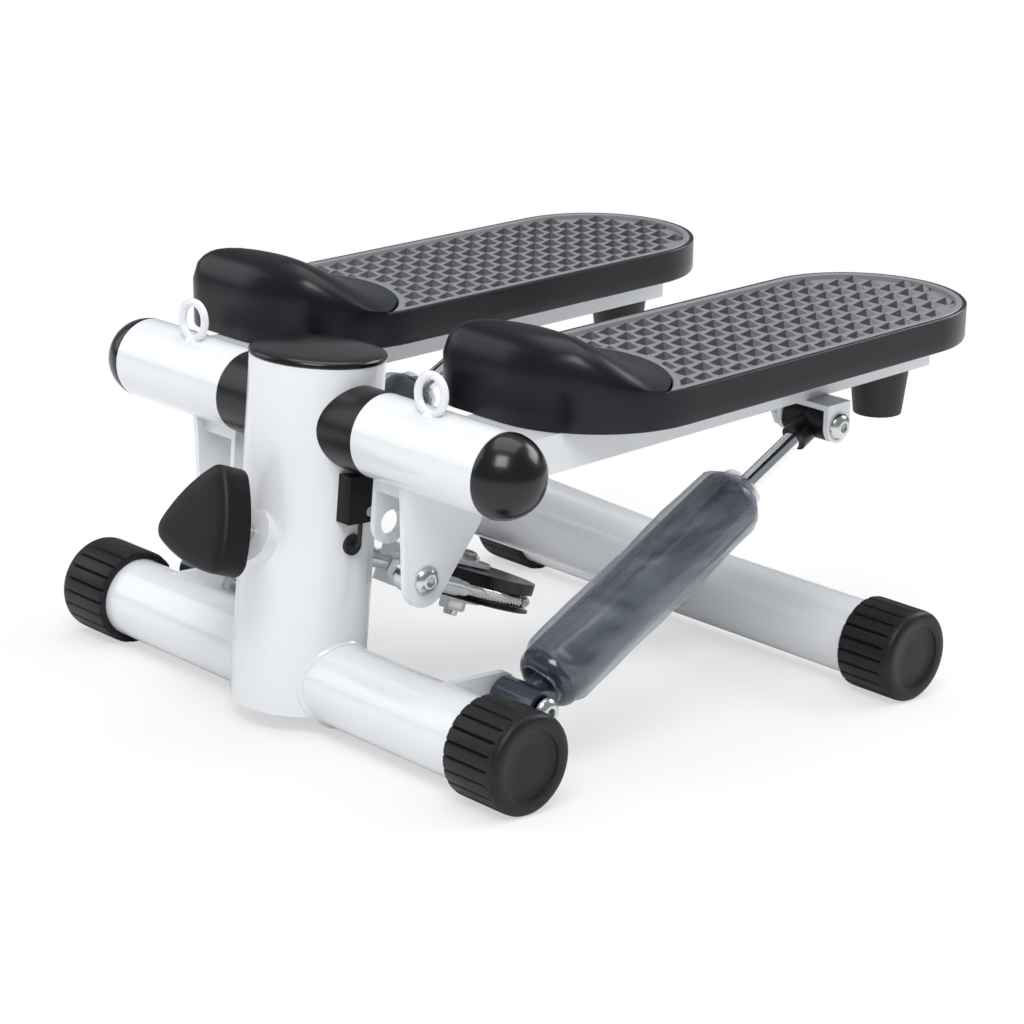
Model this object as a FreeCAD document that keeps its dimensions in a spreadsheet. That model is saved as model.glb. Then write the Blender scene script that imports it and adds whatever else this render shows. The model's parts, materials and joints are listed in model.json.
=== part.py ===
"""Mini stepper: two pedals on one cross shaft, tied by a cable round a pulley, each with a damper.

Millimetres, +Z up, the front (post and knob side) towards -Y, the origin on the floor in the
middle of the object's box.  Everything is first placed from the front bar's axis, at y = 0.
"""
import FreeCAD, Part
import math
import os
import re
import Sketcher
from FreeCAD import Placement, Rotation, Vector

doc = FreeCAD.newDocument("stepper")
sheet = doc.addObject("Spreadsheet::Sheet", "Sizes")

# ---------------------------------------------------------------- driving dimensions
SIZES = {
    # frame
    "front_width": 346, "rear_width": 328, "wheel_base": 306, "bar_dia": 43, "bar_wall": 2, "foot_dia": 52,
    "foot_len": 36, "foot_end": 4, "foot_flat": 0.3, "foot_recess": 1.5, "foot_ring": 17, "rib_count": 20,
    "rib_groove": 1.6, "rib_groove_deep": 1.0, "foot_grip": 24, "press_gap": 0.1,
    "post_dia": 69, "post_wall": 2.5, "post_top": 190, "post_bottom": 10, "cap_lip": 3.5,
    "cap_dome": 2, "cap_plug": 14, "spine_dia": 43, "spine_wall": 2, "spine_top_z": 150,
    "spine_foot_z": 30,
    # pivot
    "sleeve_dia": 43, "sleeve_wall": 2.5, "sleeve_height": 160, "sleeve_inner": 52.5,
    "sleeve_outer": 137.5, "shaft_dia": 20, "run_gap": 0.05, "bush_len": 16,
    "collar_gap": 0.4, "ball_wall": 3, "screw_dia": 8, "screw_len": 20, "washer": 2,
    # pedal, measured from the sleeve axis: along it (l), square to it (h)
    "pedal_tilt": 5.4, "pedal_x": 101, "pedal_width": 118, "pedal_top": 28, "pedal_deep": 19.5,
    "pad_thick": 3, "toe": 38, "toe_left": 20, "toe_right": 66, "heel": 362,
    "pad_front": 124, "pad_front_side": 84, "hood_top": 53.5, "hood_crown": 60, "pad_inset": 1.2, "pad_gap": 0.3,
    "arm_width": 52, "arm_deep": 19.7, "arm_wall": 2.5, "arm_end": 336,
    "bumper_l": 325, "bumper_top_dia": 34, "bumper_tip_dia": 27, "bumper_tall": 30.2,
    # lever and cable
    "plate": 3, "lever_x": 79, "lever_inner_x": 54, "lever_bolt_y": 8, "lever_bolt_z": 92.5,
    "lever_round": 14, "ear_hole": 13, "lever_front": 12, "lever_back": 42, "bolt_dia": 8, "head_flat": 13,
    "head_tall": 5, "button_dia": 15, "button_tall": 4, "socket_flat": 5, "socket_deep": 2.5, "nut_tall": 6, "eye_x": 73, "eye_wide": 9, "eye_dia": 18, "eye_play": 2.5, "ferrule_dia": 9,
    "ferrule_len": 56, "cable_dia": 5.6, "pulley_y": 111, "pulley_z": 56.8, "pulley_dia": 80,
    "adjuster_slope": 17.1, "groove_dia": 74, "groove_drop": 2.5, "pulley_wide": 16, "fork_wide": 28,
    "fork_gap": 0.8, "fork_reach": 50,
    "fork_web": 6, "fork_plate": 2.5, "wrap_gap": 1.5, "groove_play": 1.6,
    "rod_dia": 8, "knob_back": 173.5, "knob_deep": 18.5, "knob_flat": 21.6, "knob_bow": 88,
    "knob_round": 8.2, "knob_angle": 22, "knob_socket": 12, "screw_end": 46.5, "boss_dia": 28.5,
    "boss_reach": 156,
    # dampers
    "damper_x": 125, "damper_low_y": 39, "damper_low_z": 36.5, "clevis_l": 240.5, "clevis_h": 23.8, "eye_end_dia": 18,
    "damper_dia": 35, "damper_wall": 2, "damper_from": 13, "damper_to": 172, "damper_round": 8,
    "gland_dia": 18, "gland_out": 4, "piston_rod_dia": 10, "piston_len": 8, "piston_at": 120,
    "barrel_dia": 20, "barrel_wide": 28, "pin_play": 3.2, "side_gap": 0.5, "lug_round": 11,
    # bands and counter
    "ring_x": 92, "ring_y": -7, "ring_rise": 9.8, "ring_dia": 23, "ring_wire": 4.2,
    "sensor_wide": 20, "sensor_tall": 24.5, "sensor_out": 8, "sensor_base": 113, "wire_dia": 2.4,
    "grommet_dia": 11, "grommet_z": 100,
}
for row, (alias, number) in enumerate(SIZES.items(), start=1):
    sheet.set(f"A{row}", alias)
    sheet.set(f"B{row}", str(number))
    sheet.setAlias(f"B{row}", alias)
doc.recompute()
WORDS = re.compile(r"\b(" + "|".join(SIZES) + r")\b")
SUBPARTS = {}
EX, EY, EZ = Vector(1, 0, 0), Vector(0, 1, 0), Vector(0, 0, 1)


def value(text):
    """The number an expression over the sheet's aliases comes to."""
    answer = sheet.evalExpression(str(text))
    return float(getattr(answer, "Value", answer))


def bind(thing, prop, text):
    """Tie a property to the sheet."""
    thing.setExpression(prop, WORDS.sub(r"Sizes.\1", str(text)))


def turn(direction):
    """The rotation that takes +Z to a direction."""
    return Rotation(EZ, Vector(direction))


def place(thing, at=(0, 0, 0), rotation=None):
    thing.Placement = Placement(Vector(*at), rotation or Rotation())
    return thing


def finish(thing, label):
    """Name a finished sub-part; its label is its file's name."""
    thing.Label = label
    SUBPARTS[label] = thing
    return thing


# ---------------------------------------------------------------- building blocks
def primitive(kind, sizes, at=(0, 0, 0), rotation=None):
    thing = doc.addObject("Part::" + kind, kind.lower())
    for prop, text in sizes.items():
        bind(thing, prop, text)
    return place(thing, at, rotation)


def rod(dia, length, at, direction=EZ):
    """A cylinder of a stated diameter from a point along a direction."""
    return primitive("Cylinder", {"Radius": f"({dia}) / 2", "Height": length}, at, turn(direction))


def box(sizes, at, rotation=None):
    """A box of X, Y and Z sizes whose lowest corner is at a point."""
    return primitive("Box", dict(zip(("Length", "Width", "Height"), sizes)), at, rotation)


def combine(kind, first, *others):
    """Part::Cut, Part::Fuse or Part::Common of an object with each of the others in turn."""
    for other in others:
        result = doc.addObject("Part::" + kind, kind.lower())
        result.Base = first
        result.Tool = other
        first = result
    doc.recompute()
    return first


def cut(first, *others):
    return combine("Cut", first, *others)


def fuse(first, *others):
    return combine("Fuse", first, *others)


def refined(thing):
    """The same solid with the seams between its coplanar faces taken away."""
    clean = doc.addObject("Part::Refine", "refined")
    clean.Source = thing
    doc.recompute()
    return clean


def largest(thing, label="piece"):
    """The biggest solid of a cut that leaves scraps."""
    piece = doc.addObject("Part::Feature", label)
    piece.Shape = max(thing.Shape.Solids, key=lambda solid: solid.Volume)
    return piece


def outline(body, points, plane="XY_Plane"):
    """A closed sketch of straight sides; each corner is tied to the sheet in both directions."""
    sketch = body.newObject("Sketcher::SketchObject", "outline")
    origin_plane = [o for o in body.Origin.OriginFeatures if o.Role == plane][0]
    sketch.AttachmentSupport = [(origin_plane, "")]
    sketch.MapMode = "FlatFace"
    corners = [Vector(value(x), value(y), 0) for x, y in points]
    for first, second in zip(corners, corners[1:] + corners[:1]):
        sketch.addGeometry(Part.LineSegment(first, second))
    count = len(corners)
    for side in range(count):
        sketch.addConstraint(Sketcher.Constraint("Coincident", side, 2, (side + 1) % count, 1))
    for side, ((x, y), corner) in enumerate(zip(points, corners)):
        for kind, text, number in (("DistanceX", x, corner.x), ("DistanceY", y, corner.y)):
            if abs(number) < 1e-9:
                axis = -2 if kind == "DistanceX" else -1
                sketch.addConstraint(Sketcher.Constraint("PointOnObject", side, 1, axis))
            else:
                index = sketch.addConstraint(Sketcher.Constraint(kind, -1, 1, side, 1, number))
                bind(sketch, f"Constraints[{index}]", text)
    return sketch


def slab(points, thick, at=(0, 0, 0), rotation=None, plane="XY_Plane"):
    """A plate: an outline padded by a thickness."""
    body = doc.addObject("PartDesign::Body", "slab")
    pad = body.newObject("PartDesign::Pad", "pad")
    pad.Profile = outline(body, points, plane)
    bind(pad, "Length", thick)
    doc.recompute()
    return place(body, at, rotation)


def lathe(points, at=(0, 0, 0), direction=EZ):
    """A turned piece: (radius, height) corners spun about the local Z axis."""
    body = doc.addObject("PartDesign::Body", "lathe")
    spin = body.newObject("PartDesign::Revolution", "spin")
    spin.Profile = outline(body, points, "XZ_Plane")
    spin.ReferenceAxis = (spin.Profile[0], ["V_Axis"])
    spin.Angle = 360
    doc.recompute()
    return place(body, at, turn(direction))


def rounded(body, radius, choose):
    """Fillet the edges of a body that a test picks out."""
    doc.recompute()
    names = [f"Edge{n}" for n, edge in enumerate(body.Shape.Edges, start=1) if choose(edge)]
    solid = body.Tip
    fillet = body.newObject("PartDesign::Fillet", "fillet")
    fillet.Base = (solid, names)
    bind(fillet, "Radius", radius)
    body.Tip = fillet
    doc.recompute()
    return body


def circle_at(edge, height):
    """True for a full circle that lies at a height of the body's own Z axis."""
    curve = edge.Curve
    return isinstance(curve, Part.Circle) and abs(curve.Center.z - height) < 1e-6


def hexagon(flat, tall, at, direction=EX):
    """A six-sided head or nut, by its width across flats."""
    prism = doc.addObject("Part::Prism", "hexagon")
    prism.Polygon = 6
    bind(prism, "Circumradius", f"({flat}) / 2 / cos(30)")
    bind(prism, "Height", tall)
    return place(prism, at, turn(direction))


def group(label, *things):
    """Several separate solids in one node."""
    compound = doc.addObject("Part::Compound", label)
    compound.Links = list(things)
    doc.recompute()
    return finish(compound, label)


# ---------------------------------------------------------------- shared places
BAR_Z = value("foot_dia / 2 - foot_flat")
BACK_Y = value("wheel_base")
AXIS_Z = value("sleeve_height")
TILT = Rotation(EX, value("pedal_tilt"))
PEDAL = Placement(Vector(0, 0, AXIS_Z), TILT)
SLOPE = math.radians(value("adjuster_slope"))
DOWN_BACK = Vector(0, math.cos(SLOPE), -math.sin(SLOPE))
PULLEY_UP = Vector(0, math.sin(SLOPE), math.cos(SLOPE))
PULLEY = Vector(0, value("pulley_y"), value("pulley_z"))
LEVER_BOLT = Vector(0, value("lever_bolt_y"), value("lever_bolt_z"))
LOW_PIVOT = Vector(0, value("damper_low_y"), value("damper_low_z"))
TOP_PIVOT = PEDAL.multVec(Vector(0, value("clevis_l"), value("-clevis_h")))
DAMPER_WAY = (TOP_PIVOT - LOW_PIVOT).normalize()
DAMPER_LONG = (TOP_PIVOT - LOW_PIVOT).Length
PULLEY_RUN = (PULLEY - LEVER_BOLT).dot(DOWN_BACK)
GROOVE = PULLEY - PULLEY_UP * value("groove_drop")
EYE_FAR = math.hypot(PULLEY_RUN, value("eye_x"))
# angle, seen along the pulley's axis, at which the cable leaves the pulley
LEAVE = math.acos(value("groove_dia / 2") / EYE_FAR) - math.atan2(PULLEY_RUN, value("eye_x"))


def on_rod(along):
    """A point of the adjuster's axis, measured from the pulley's centre towards the knob."""
    return PULLEY - DOWN_BACK * value(along)


def on_pedal(thing):
    """Carry a piece made about the sleeve's axis to its place on the tilted pedal."""
    thing.Placement = PEDAL.multiply(thing.Placement)
    return thing


def side_name(name, side):
    return f"{name}_{'right' if side > 0 else 'left'}"


# ---------------------------------------------------------------- frame
def floor_bar(label, width, y):
    length = f"{width} - 2 * foot_end - 2"
    start = (value(f"-({length}) / 2"), y, BAR_Z)
    outer = rod("bar_dia", length, start, EX)
    inner = rod("bar_dia - 2 * bar_wall", length, start, EX)
    return finish(cut(outer, inner), label)


def foot_cap(label, side, width, y):
    """A ribbed cap with a recessed, ringed end; it stands on the floor on its flattened lowest rib."""
    bore = "bar_dia / 2 + press_gap"
    depth = "foot_len - foot_end"
    body = lathe([("foot_dia / 2", 0), ("foot_dia / 2", "foot_len"),
                  ("foot_ring + 3", "foot_len"), ("foot_ring", f"foot_len - foot_recess"),
                  (0, "foot_len - foot_recess"), (0, depth), (bore, depth), (bore, 0)])
    rounded(body, "foot_recess", lambda e: circle_at(e, value("foot_len"))
            and e.Curve.Radius > value("foot_ring + 4"))
    place(body, (side * value(f"{width} / 2 - foot_len"), y, BAR_Z), turn(EX * side))
    grooves = []
    for number in range(int(value("rib_count"))):
        angle = (number + 0.5) * 2 * math.pi / value("rib_count")
        out = Vector(0, math.sin(angle), -math.cos(angle))
        across = value("foot_dia / 2 - rib_groove_deep")
        start = body.Placement.Base + EX * side * value("foot_len - foot_grip - 5") + out * across
        groove = box(("foot_grip", "rib_groove", "2 * rib_groove_deep"), (0, 0, 0))
        turned = Rotation(EX * side, out.cross(EX * side), out, "ZXY")
        start -= out.cross(EX * side) * value("rib_groove / 2")
        groove.Placement = Placement(start, turned)
        grooves.append(groove)
    tools = doc.addObject("Part::MultiFuse", "grooves")
    tools.Shapes = grooves
    floor = box(("front_width", "2 * foot_dia", "foot_dia"),
                (value("-front_width / 2"), y - value("foot_dia"), value("-foot_dia")))
    return finish(cut(body, tools, floor), label)


def frame():
    for end, width, y in (("front", "front_width", 0), ("rear", "rear_width", BACK_Y)):
        floor_bar(f"{end}_bar", width, y)
        for side in (1, -1):
            foot_cap(side_name(f"foot_cap_{end}", side), side, width, y)

    height = "post_top - post_bottom"
    foot = (0, 0, value("post_bottom"))
    boss = rod("boss_dia", "20", on_rod("boss_reach"), DOWN_BACK)
    through_bar = rod("bar_dia", "2 * post_dia", (value("-post_dia"), 0, BAR_Z), EX)
    shaft_hole = rod("shaft_dia", "2 * post_dia", (value("-post_dia"), 0, AXIS_Z), EX)
    rod_hole = rod("rod_dia + 2 * run_gap", "3 * post_dia", on_rod("boss_reach + 9"), DOWN_BACK)
    wire_hole = rod("grommet_dia - 3", "post_dia", (0, 0, value("grommet_z")), EX)
    solid_post = fuse(rod("post_dia", height, foot), boss)
    post = cut(solid_post, rod("post_dia - 2 * post_wall", height, foot), through_bar, shaft_hole,
               rod_hole, wire_hole)
    finish(post, "post")

    top = Vector(0, 0, value("spine_top_z"))
    end = Vector(0, BACK_Y, value("spine_foot_z"))
    way = end - top
    length = str(way.Length)
    spine = cut(rod("spine_dia", length, top, way), rod("spine_dia - 2 * spine_wall", length, top, way),
                rod("post_dia", "2 * post_top", (0, 0, 0)),
                rod("bar_dia", "3 * spine_dia", (value("-spine_dia"), BACK_Y, BAR_Z), EX))
    finish(largest(spine), "spine_tube")

    bore = "post_dia / 2 - post_wall - press_gap"
    cap = lathe([("post_dia / 2 + 0.5", 0), ("post_dia / 2 + 0.5", "cap_lip - 1.2"),
                 ("post_dia / 2 - 0.7", "cap_lip"), ("post_dia / 2 - 4", "cap_lip"),
                 (0, "cap_lip + cap_dome"), (0, "cap_dome"),
                 (f"{bore} - 3", "0"), (f"{bore} - 3", "-cap_plug"), (bore, "-cap_plug"), (bore, 0)],
                (0, 0, value("post_top")))
    finish(cap, "post_cap")


def pivot():
    """The cross shaft, its end screws and the saddle collars against the post."""
    start = (value("-sleeve_outer - 1"), 0, AXIS_Z)
    shaft = rod("shaft_dia", "2 * sleeve_outer + 2", start, EX)
    taps = [rod("screw_dia", "screw_len", (side * value("sleeve_outer + 1 + washer - screw_len"), 0, AXIS_Z),
                EX * side) for side in (1, -1)]
    finish(cut(shaft, *taps), "pivot_shaft")
    collars, screws = [], []
    for side in (1, -1):
        way = EX * side
        collar = cut(rod("sleeve_dia", "sleeve_inner - collar_gap", (0, 0, AXIS_Z), way),
                     rod("post_dia", "2 * post_top", (0, 0, 0)),
                     rod("shaft_dia", "sleeve_inner", (0, 0, AXIS_Z), way))
        collars.append(largest(collar))
        seat = (side * value("sleeve_outer + 1"), 0, AXIS_Z)
        washer = rod("shaft_dia + 6", "washer", seat, way)
        head_at = (seat[0] + side * value("washer"), 0, AXIS_Z)
        head = hexagon("head_flat", "head_tall", head_at, way)
        shank = rod("screw_dia", "screw_len", head_at, way * -1)
        screws.append(fuse(washer, head, shank))
    group("saddle_collars", *collars)
    group("shaft_end_screws", *screws)


# ---------------------------------------------------------------- pedals
def across(inner, outer, side):
    """The lowest X of a piece that spans two distances from the middle, on one side."""
    return value(inner) if side > 0 else -value(outer)


def sleeve(side):
    way = EX * side
    start = (side * value("sleeve_inner"), 0, AXIS_Z)
    length = "sleeve_outer - sleeve_inner"
    bore = "sleeve_dia - 2 * sleeve_wall"
    finish(cut(rod("sleeve_dia", length, start, way), rod(bore, length, start, way)),
           side_name("sleeve", side))
    bushes = []
    for at, inward in (("sleeve_inner", way), ("sleeve_outer", way * -1)):
        bushes.append(lathe([("shaft_dia / 2 + run_gap", 0), (f"({bore}) / 2 - press_gap", 0),
                             (f"({bore}) / 2 - press_gap", "bush_len"),
                             ("shaft_dia / 2 + run_gap", "bush_len")],
                            (side * value(at), 0, AXIS_Z), inward))
    group(side_name("sleeve_bushes", side), *bushes)


def ball_cap(side):
    ball = primitive("Sphere", {"Radius": "sleeve_dia / 2"}, (side * value("sleeve_outer"), 0, AXIS_Z))
    hollow = primitive("Sphere", {"Radius": "sleeve_dia / 2 - ball_wall"}, ball.Placement.Base)
    keep = rod("sleeve_dia + 2", "sleeve_dia", ball.Placement.Base, EX * side)
    dome = combine("Common", cut(ball, hollow), keep)
    finish(dome, side_name("ball_cap", side))


def plan(side, low, high, inset):
    """The foot plate's plan between two heights: a round heel, a tight left toe and a full right toe."""
    x = side * value("pedal_x")
    z = value(low)
    tall = f"{high} - ({low})"
    half = f"(pedal_width / 2 - {inset})"
    heel = value("heel - pedal_width / 2")
    toe = value(f"toe + {inset}")
    block = box((f"2 * {half}", f"heel - pedal_width / 2 - toe - {inset}", tall), (x - value(half), toe, z))
    whole = refined(fuse(block, rod(f"2 * {half}", tall, (x, heel, z))))
    rounds = []
    for number, edge in enumerate(whole.Shape.Edges, start=1):
        middle = edge.CenterOfMass
        if abs(middle.y - toe) < 1e-6 and abs(edge.Length - value(tall)) < 1e-6:
            corner = "toe_right" if middle.x > x else "toe_left"
            rounds.append((number, value(f"{corner} - {inset}"), value(f"{corner} - {inset}")))
    fillet = doc.addObject("Part::Fillet", "plan")
    fillet.Base = whole
    fillet.Edges = rounds
    doc.recompute()
    return fillet


def toe_zone(side, low, high, growth):
    """Everything in front of the arc where the hood meets the tread."""
    x = side * value("pedal_x")
    rise = value("pad_front - pad_front_side")
    radius = (value("pedal_width / 2") ** 2 + rise ** 2) / 2 / rise
    tall = f"{high} - ({low}) + 2"
    z = value(low) - 1
    wide = "pedal_width + 20"
    left = x - value(wide) / 2
    drum = rod(str(2 * (radius + growth)), tall, (x, value("pad_front") - radius, z))
    limit = box((wide, "pad_front + 60", tall), (left, -40, z))
    nose = box((wide, "pad_front_side + 40", tall), (left, growth - 40, z))
    return fuse(combine("Common", drum, limit), nose)


def pedal_plate(side):
    """The black tray with its toe hood, and the grey tread that lies in it."""
    low = "pedal_top - pedal_deep"
    seat = "pedal_top - pad_thick"
    tray = plan(side, low, seat, 0)
    tread = cut(plan(side, seat, "pedal_top", "pad_inset"),
                toe_zone(side, seat, "pedal_top", value("pad_gap")))
    finish(on_pedal(tread), side_name("tread", side))

    x = side * value("pedal_x")
    rise = "(hood_top - pedal_top)"
    profile = [("toe - 2", seat), ("toe - 2", "hood_top - 14"), ("toe + 3", "hood_top - 6"),
               ("toe + 11", "hood_top - 1"), ("hood_crown - 5", "hood_top"),
               ("hood_crown + 6", "hood_top - 1.5"), ("hood_crown + 16", f"hood_top - {rise} * 0.25"),
               ("hood_crown + 32", f"hood_top - {rise} * 0.55"),
               ("hood_crown + 50", f"hood_top - {rise} * 0.8"),
               ("pad_front + 2", "pedal_top + 1"), ("pad_front + 2", seat)]
    sides = slab(profile, "pedal_width + 4", (x - value("pedal_width / 2 + 2"), 0, 0),
                 Rotation(EY, EZ, EX, "ZXY"))
    half = "(pedal_width / 2)"
    top = "hood_top"
    arch = [(f"-{half}", seat), (f"-{half}", f"{top} - 24"), (f"-{half} + 3", f"{top} - 14"),
            (f"-{half} + 11", f"{top} - 5"), (f"-{half} + 24", f"{top} - 0.6"), (f"-{half} + 36", top),
            (f"{half} - 36", top), (f"{half} - 24", f"{top} - 0.6"), (f"{half} - 11", f"{top} - 5"),
            (f"{half} - 3", f"{top} - 14"), (half, f"{top} - 24"), (half, seat)]
    front = slab(arch, "pad_front + 20", (x, value("pad_front + 10"), 0), Rotation(EX, 90))
    hood = combine("Common", plan(side, seat, "hood_top + 4", 0),
                   toe_zone(side, seat, "hood_top + 4", 0), sides, front)
    finish(on_pedal(fuse(tray, hood)), side_name("pedal_tray", side))


def pedal_arm(side):
    """Box-section arm coped onto the sleeve, with its clevis for the damper and its bumper."""
    top = "pedal_top - pedal_deep"
    x = across("pedal_x - arm_width / 2", "pedal_x + arm_width / 2", side)
    outer = box(("arm_width", "arm_end", "arm_deep"), (x, 0, value(f"{top} - arm_deep")))
    inner = box(("arm_width - 2 * arm_wall", "arm_end", "arm_deep - 2 * arm_wall"),
                (x + value("arm_wall"), 0, value(f"{top} - arm_deep + arm_wall")))
    coping = rod("sleeve_dia", "front_width", (value("-front_width / 2"), 0, 0), EX)
    whole = cut(outer, inner, coping)
    finish(on_pedal(largest(whole)), side_name("pedal_arm", side))

    under = f"{top} - arm_deep"
    cone = primitive("Cone", {"Radius1": "bumper_tip_dia / 2", "Radius2": "bumper_top_dia / 2",
                              "Height": "bumper_tall"},
                     (side * value("pedal_x"), value("bumper_l"), value(f"{under} - bumper_tall")))
    finish(on_pedal(cone), side_name("bumper", side))

    inside = "(barrel_wide / 2 + side_gap)"
    half = "eye_end_dia / 2"
    web_low = f"{under} - plate"
    cheeks = []
    for edge in (f"damper_x - {inside} - plate", f"damper_x + {inside}"):
        start = across(edge, f"{edge} + plate", side)
        panel = box(("plate", "2 * " + half, f"{under} + clevis_h"),
                    (start, value(f"clevis_l - {half}"), value("-clevis_h")))
        nose = rod("eye_end_dia", "plate", (start, value("clevis_l"), value("-clevis_h")), EX)
        cheeks.append(fuse(panel, nose))
    web = box((f"barrel_wide + 2 * side_gap + 2 * plate", f"2 * {half}", "plate"),
              (across(f"damper_x - {inside} - plate", f"damper_x + {inside} + plate", side),
               value(f"clevis_l - {half}"), value(web_low)))
    hole = rod("bolt_dia + 2 * run_gap", "barrel_wide + 20",
               (across("damper_x - barrel_wide / 2 - 10", "damper_x + barrel_wide / 2 + 10", side),
                value("clevis_l"), value("-clevis_h")), EX)
    finish(on_pedal(cut(fuse(web, *cheeks), hole)), side_name("damper_clevis", side))


def through_bolt(side, inner, outer, y, z):
    """A button-head bolt along X with its head outside and its nut inside, as two solids."""
    way = EX * side
    start = side * value(outer)
    button = rod("button_dia", "button_tall", (start, y, z), way)
    socket = hexagon("socket_flat", "socket_deep", (start + side * value("button_tall - socket_deep"), y, z),
                     way)
    shank = rod("bolt_dia", f"{outer} - ({inner}) + nut_tall + 3", (start, y, z), way * -1)
    bolt = cut(fuse(button, shank), socket)
    ring = hexagon("head_flat", "nut_tall", (side * value(f"{inner}"), y, z), way * -1)
    nut = cut(ring, rod("bolt_dia", "3 * nut_tall", (side * value(f"{inner} + nut_tall"), y, z), way * -1))
    return [bolt, nut]


def lever(side):
    """The bracket under the sleeve that pulls the cable, and the pedal's fasteners."""
    y, z = LEVER_BOLT.y, LEVER_BOLT.z
    r = "lever_round"
    drop = "lever_bolt_z - sleeve_height"
    outer = [("-lever_front", "-sleeve_dia / 2 + 6"), (f"lever_bolt_y - {r}", drop),
             (f"lever_bolt_y + {r} * 0.86", f"{drop} - {r} * 0.5"), ("lever_back", "-sleeve_dia"),
             ("lever_back + 8", "-sleeve_dia / 2 + 6")]
    inner = [("-lever_front / 2", "-sleeve_dia / 2 + 6"), ("-lever_front / 2", "-sleeve_dia / 2 - 22"),
             ("lever_bolt_y + 8", "-sleeve_dia / 2 - 22"), ("lever_bolt_y + 8", "-sleeve_dia / 2 + 6")]
    to_side = Rotation(EY, EZ, EX, "ZXY")
    outer_x = across("lever_x", "lever_x + plate", side)
    inner_x = across("lever_inner_x", "lever_inner_x + plate", side)
    cheek = fuse(slab(outer, "plate", (outer_x, 0, AXIS_Z), to_side),
                 rod(f"2 * {r}", "plate", (outer_x, y, z), EX))
    low = value("-sleeve_dia / 2 - 22")
    middle = value("(lever_bolt_y + 8 - lever_front / 2) / 2")
    ear = fuse(slab(inner, "plate", (inner_x, 0, AXIS_Z), to_side),
               rod("lever_bolt_y + 8 + lever_front / 2", "plate", (inner_x, middle, AXIS_Z + low), EX))
    ear = cut(ear, rod("ear_hole", "3 * plate", (inner_x - value("plate"), middle, AXIS_Z + low), EX))
    web = box(("lever_x - lever_inner_x + plate", "lever_bolt_y + 8 + lever_front / 2", "2 * plate"),
              (across("lever_inner_x", "lever_x + plate", side), value("-lever_front / 2"),
               value("sleeve_height - sleeve_dia / 2 - 1.5 * plate")))
    arm_top = box(("front_width", "arm_end", "40"), (value("-front_width / 2"), 0, 0))
    arm_top.Placement = PEDAL.multiply(
        Placement(Vector(value("-front_width / 2"), 0, value("pedal_top - pedal_deep - arm_deep")),
                  Rotation()))
    bracket = cut(fuse(cheek, ear, web),
                  rod("sleeve_dia", "front_width", (value("-front_width / 2"), 0, AXIS_Z), EX),
                  arm_top, rod("bolt_dia + 2 * run_gap", "front_width", (value("-front_width / 2"), y, z), EX))
    finish(bracket, side_name("lever_bracket", side))

    fasteners = through_bolt(side, "eye_x - eye_wide / 2 - eye_play", "lever_x + plate", y, z)
    clevis = through_bolt(side, "damper_x - barrel_wide / 2 - side_gap - plate",
                          "damper_x + barrel_wide / 2 + side_gap + plate", value("clevis_l"),
                          value("-clevis_h"))
    group(side_name("lever_bolt", side), *fasteners)
    group(side_name("clevis_bolt", side), *[on_pedal(piece) for piece in clevis])


def eyebolt(side):
    """Welded ring for a pull band, on top of the sleeve."""
    base = Vector(side * value("ring_x"), value("ring_y"), AXIS_Z)
    height = value("sqrt(sleeve_dia ^ 2 / 4 - ring_y ^ 2) + ring_rise")
    centre = base + EZ * height
    ring = primitive("Torus", {"Radius1": "ring_dia / 2 - ring_wire / 2", "Radius2": "ring_wire / 2"},
                     tuple(centre), Rotation(EX, 90))
    core = rod("sleeve_dia", "front_width", (value("-front_width / 2"), 0, AXIS_Z), EX)
    finish(largest(cut(ring, core)), side_name("eyebolt", side))


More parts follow.
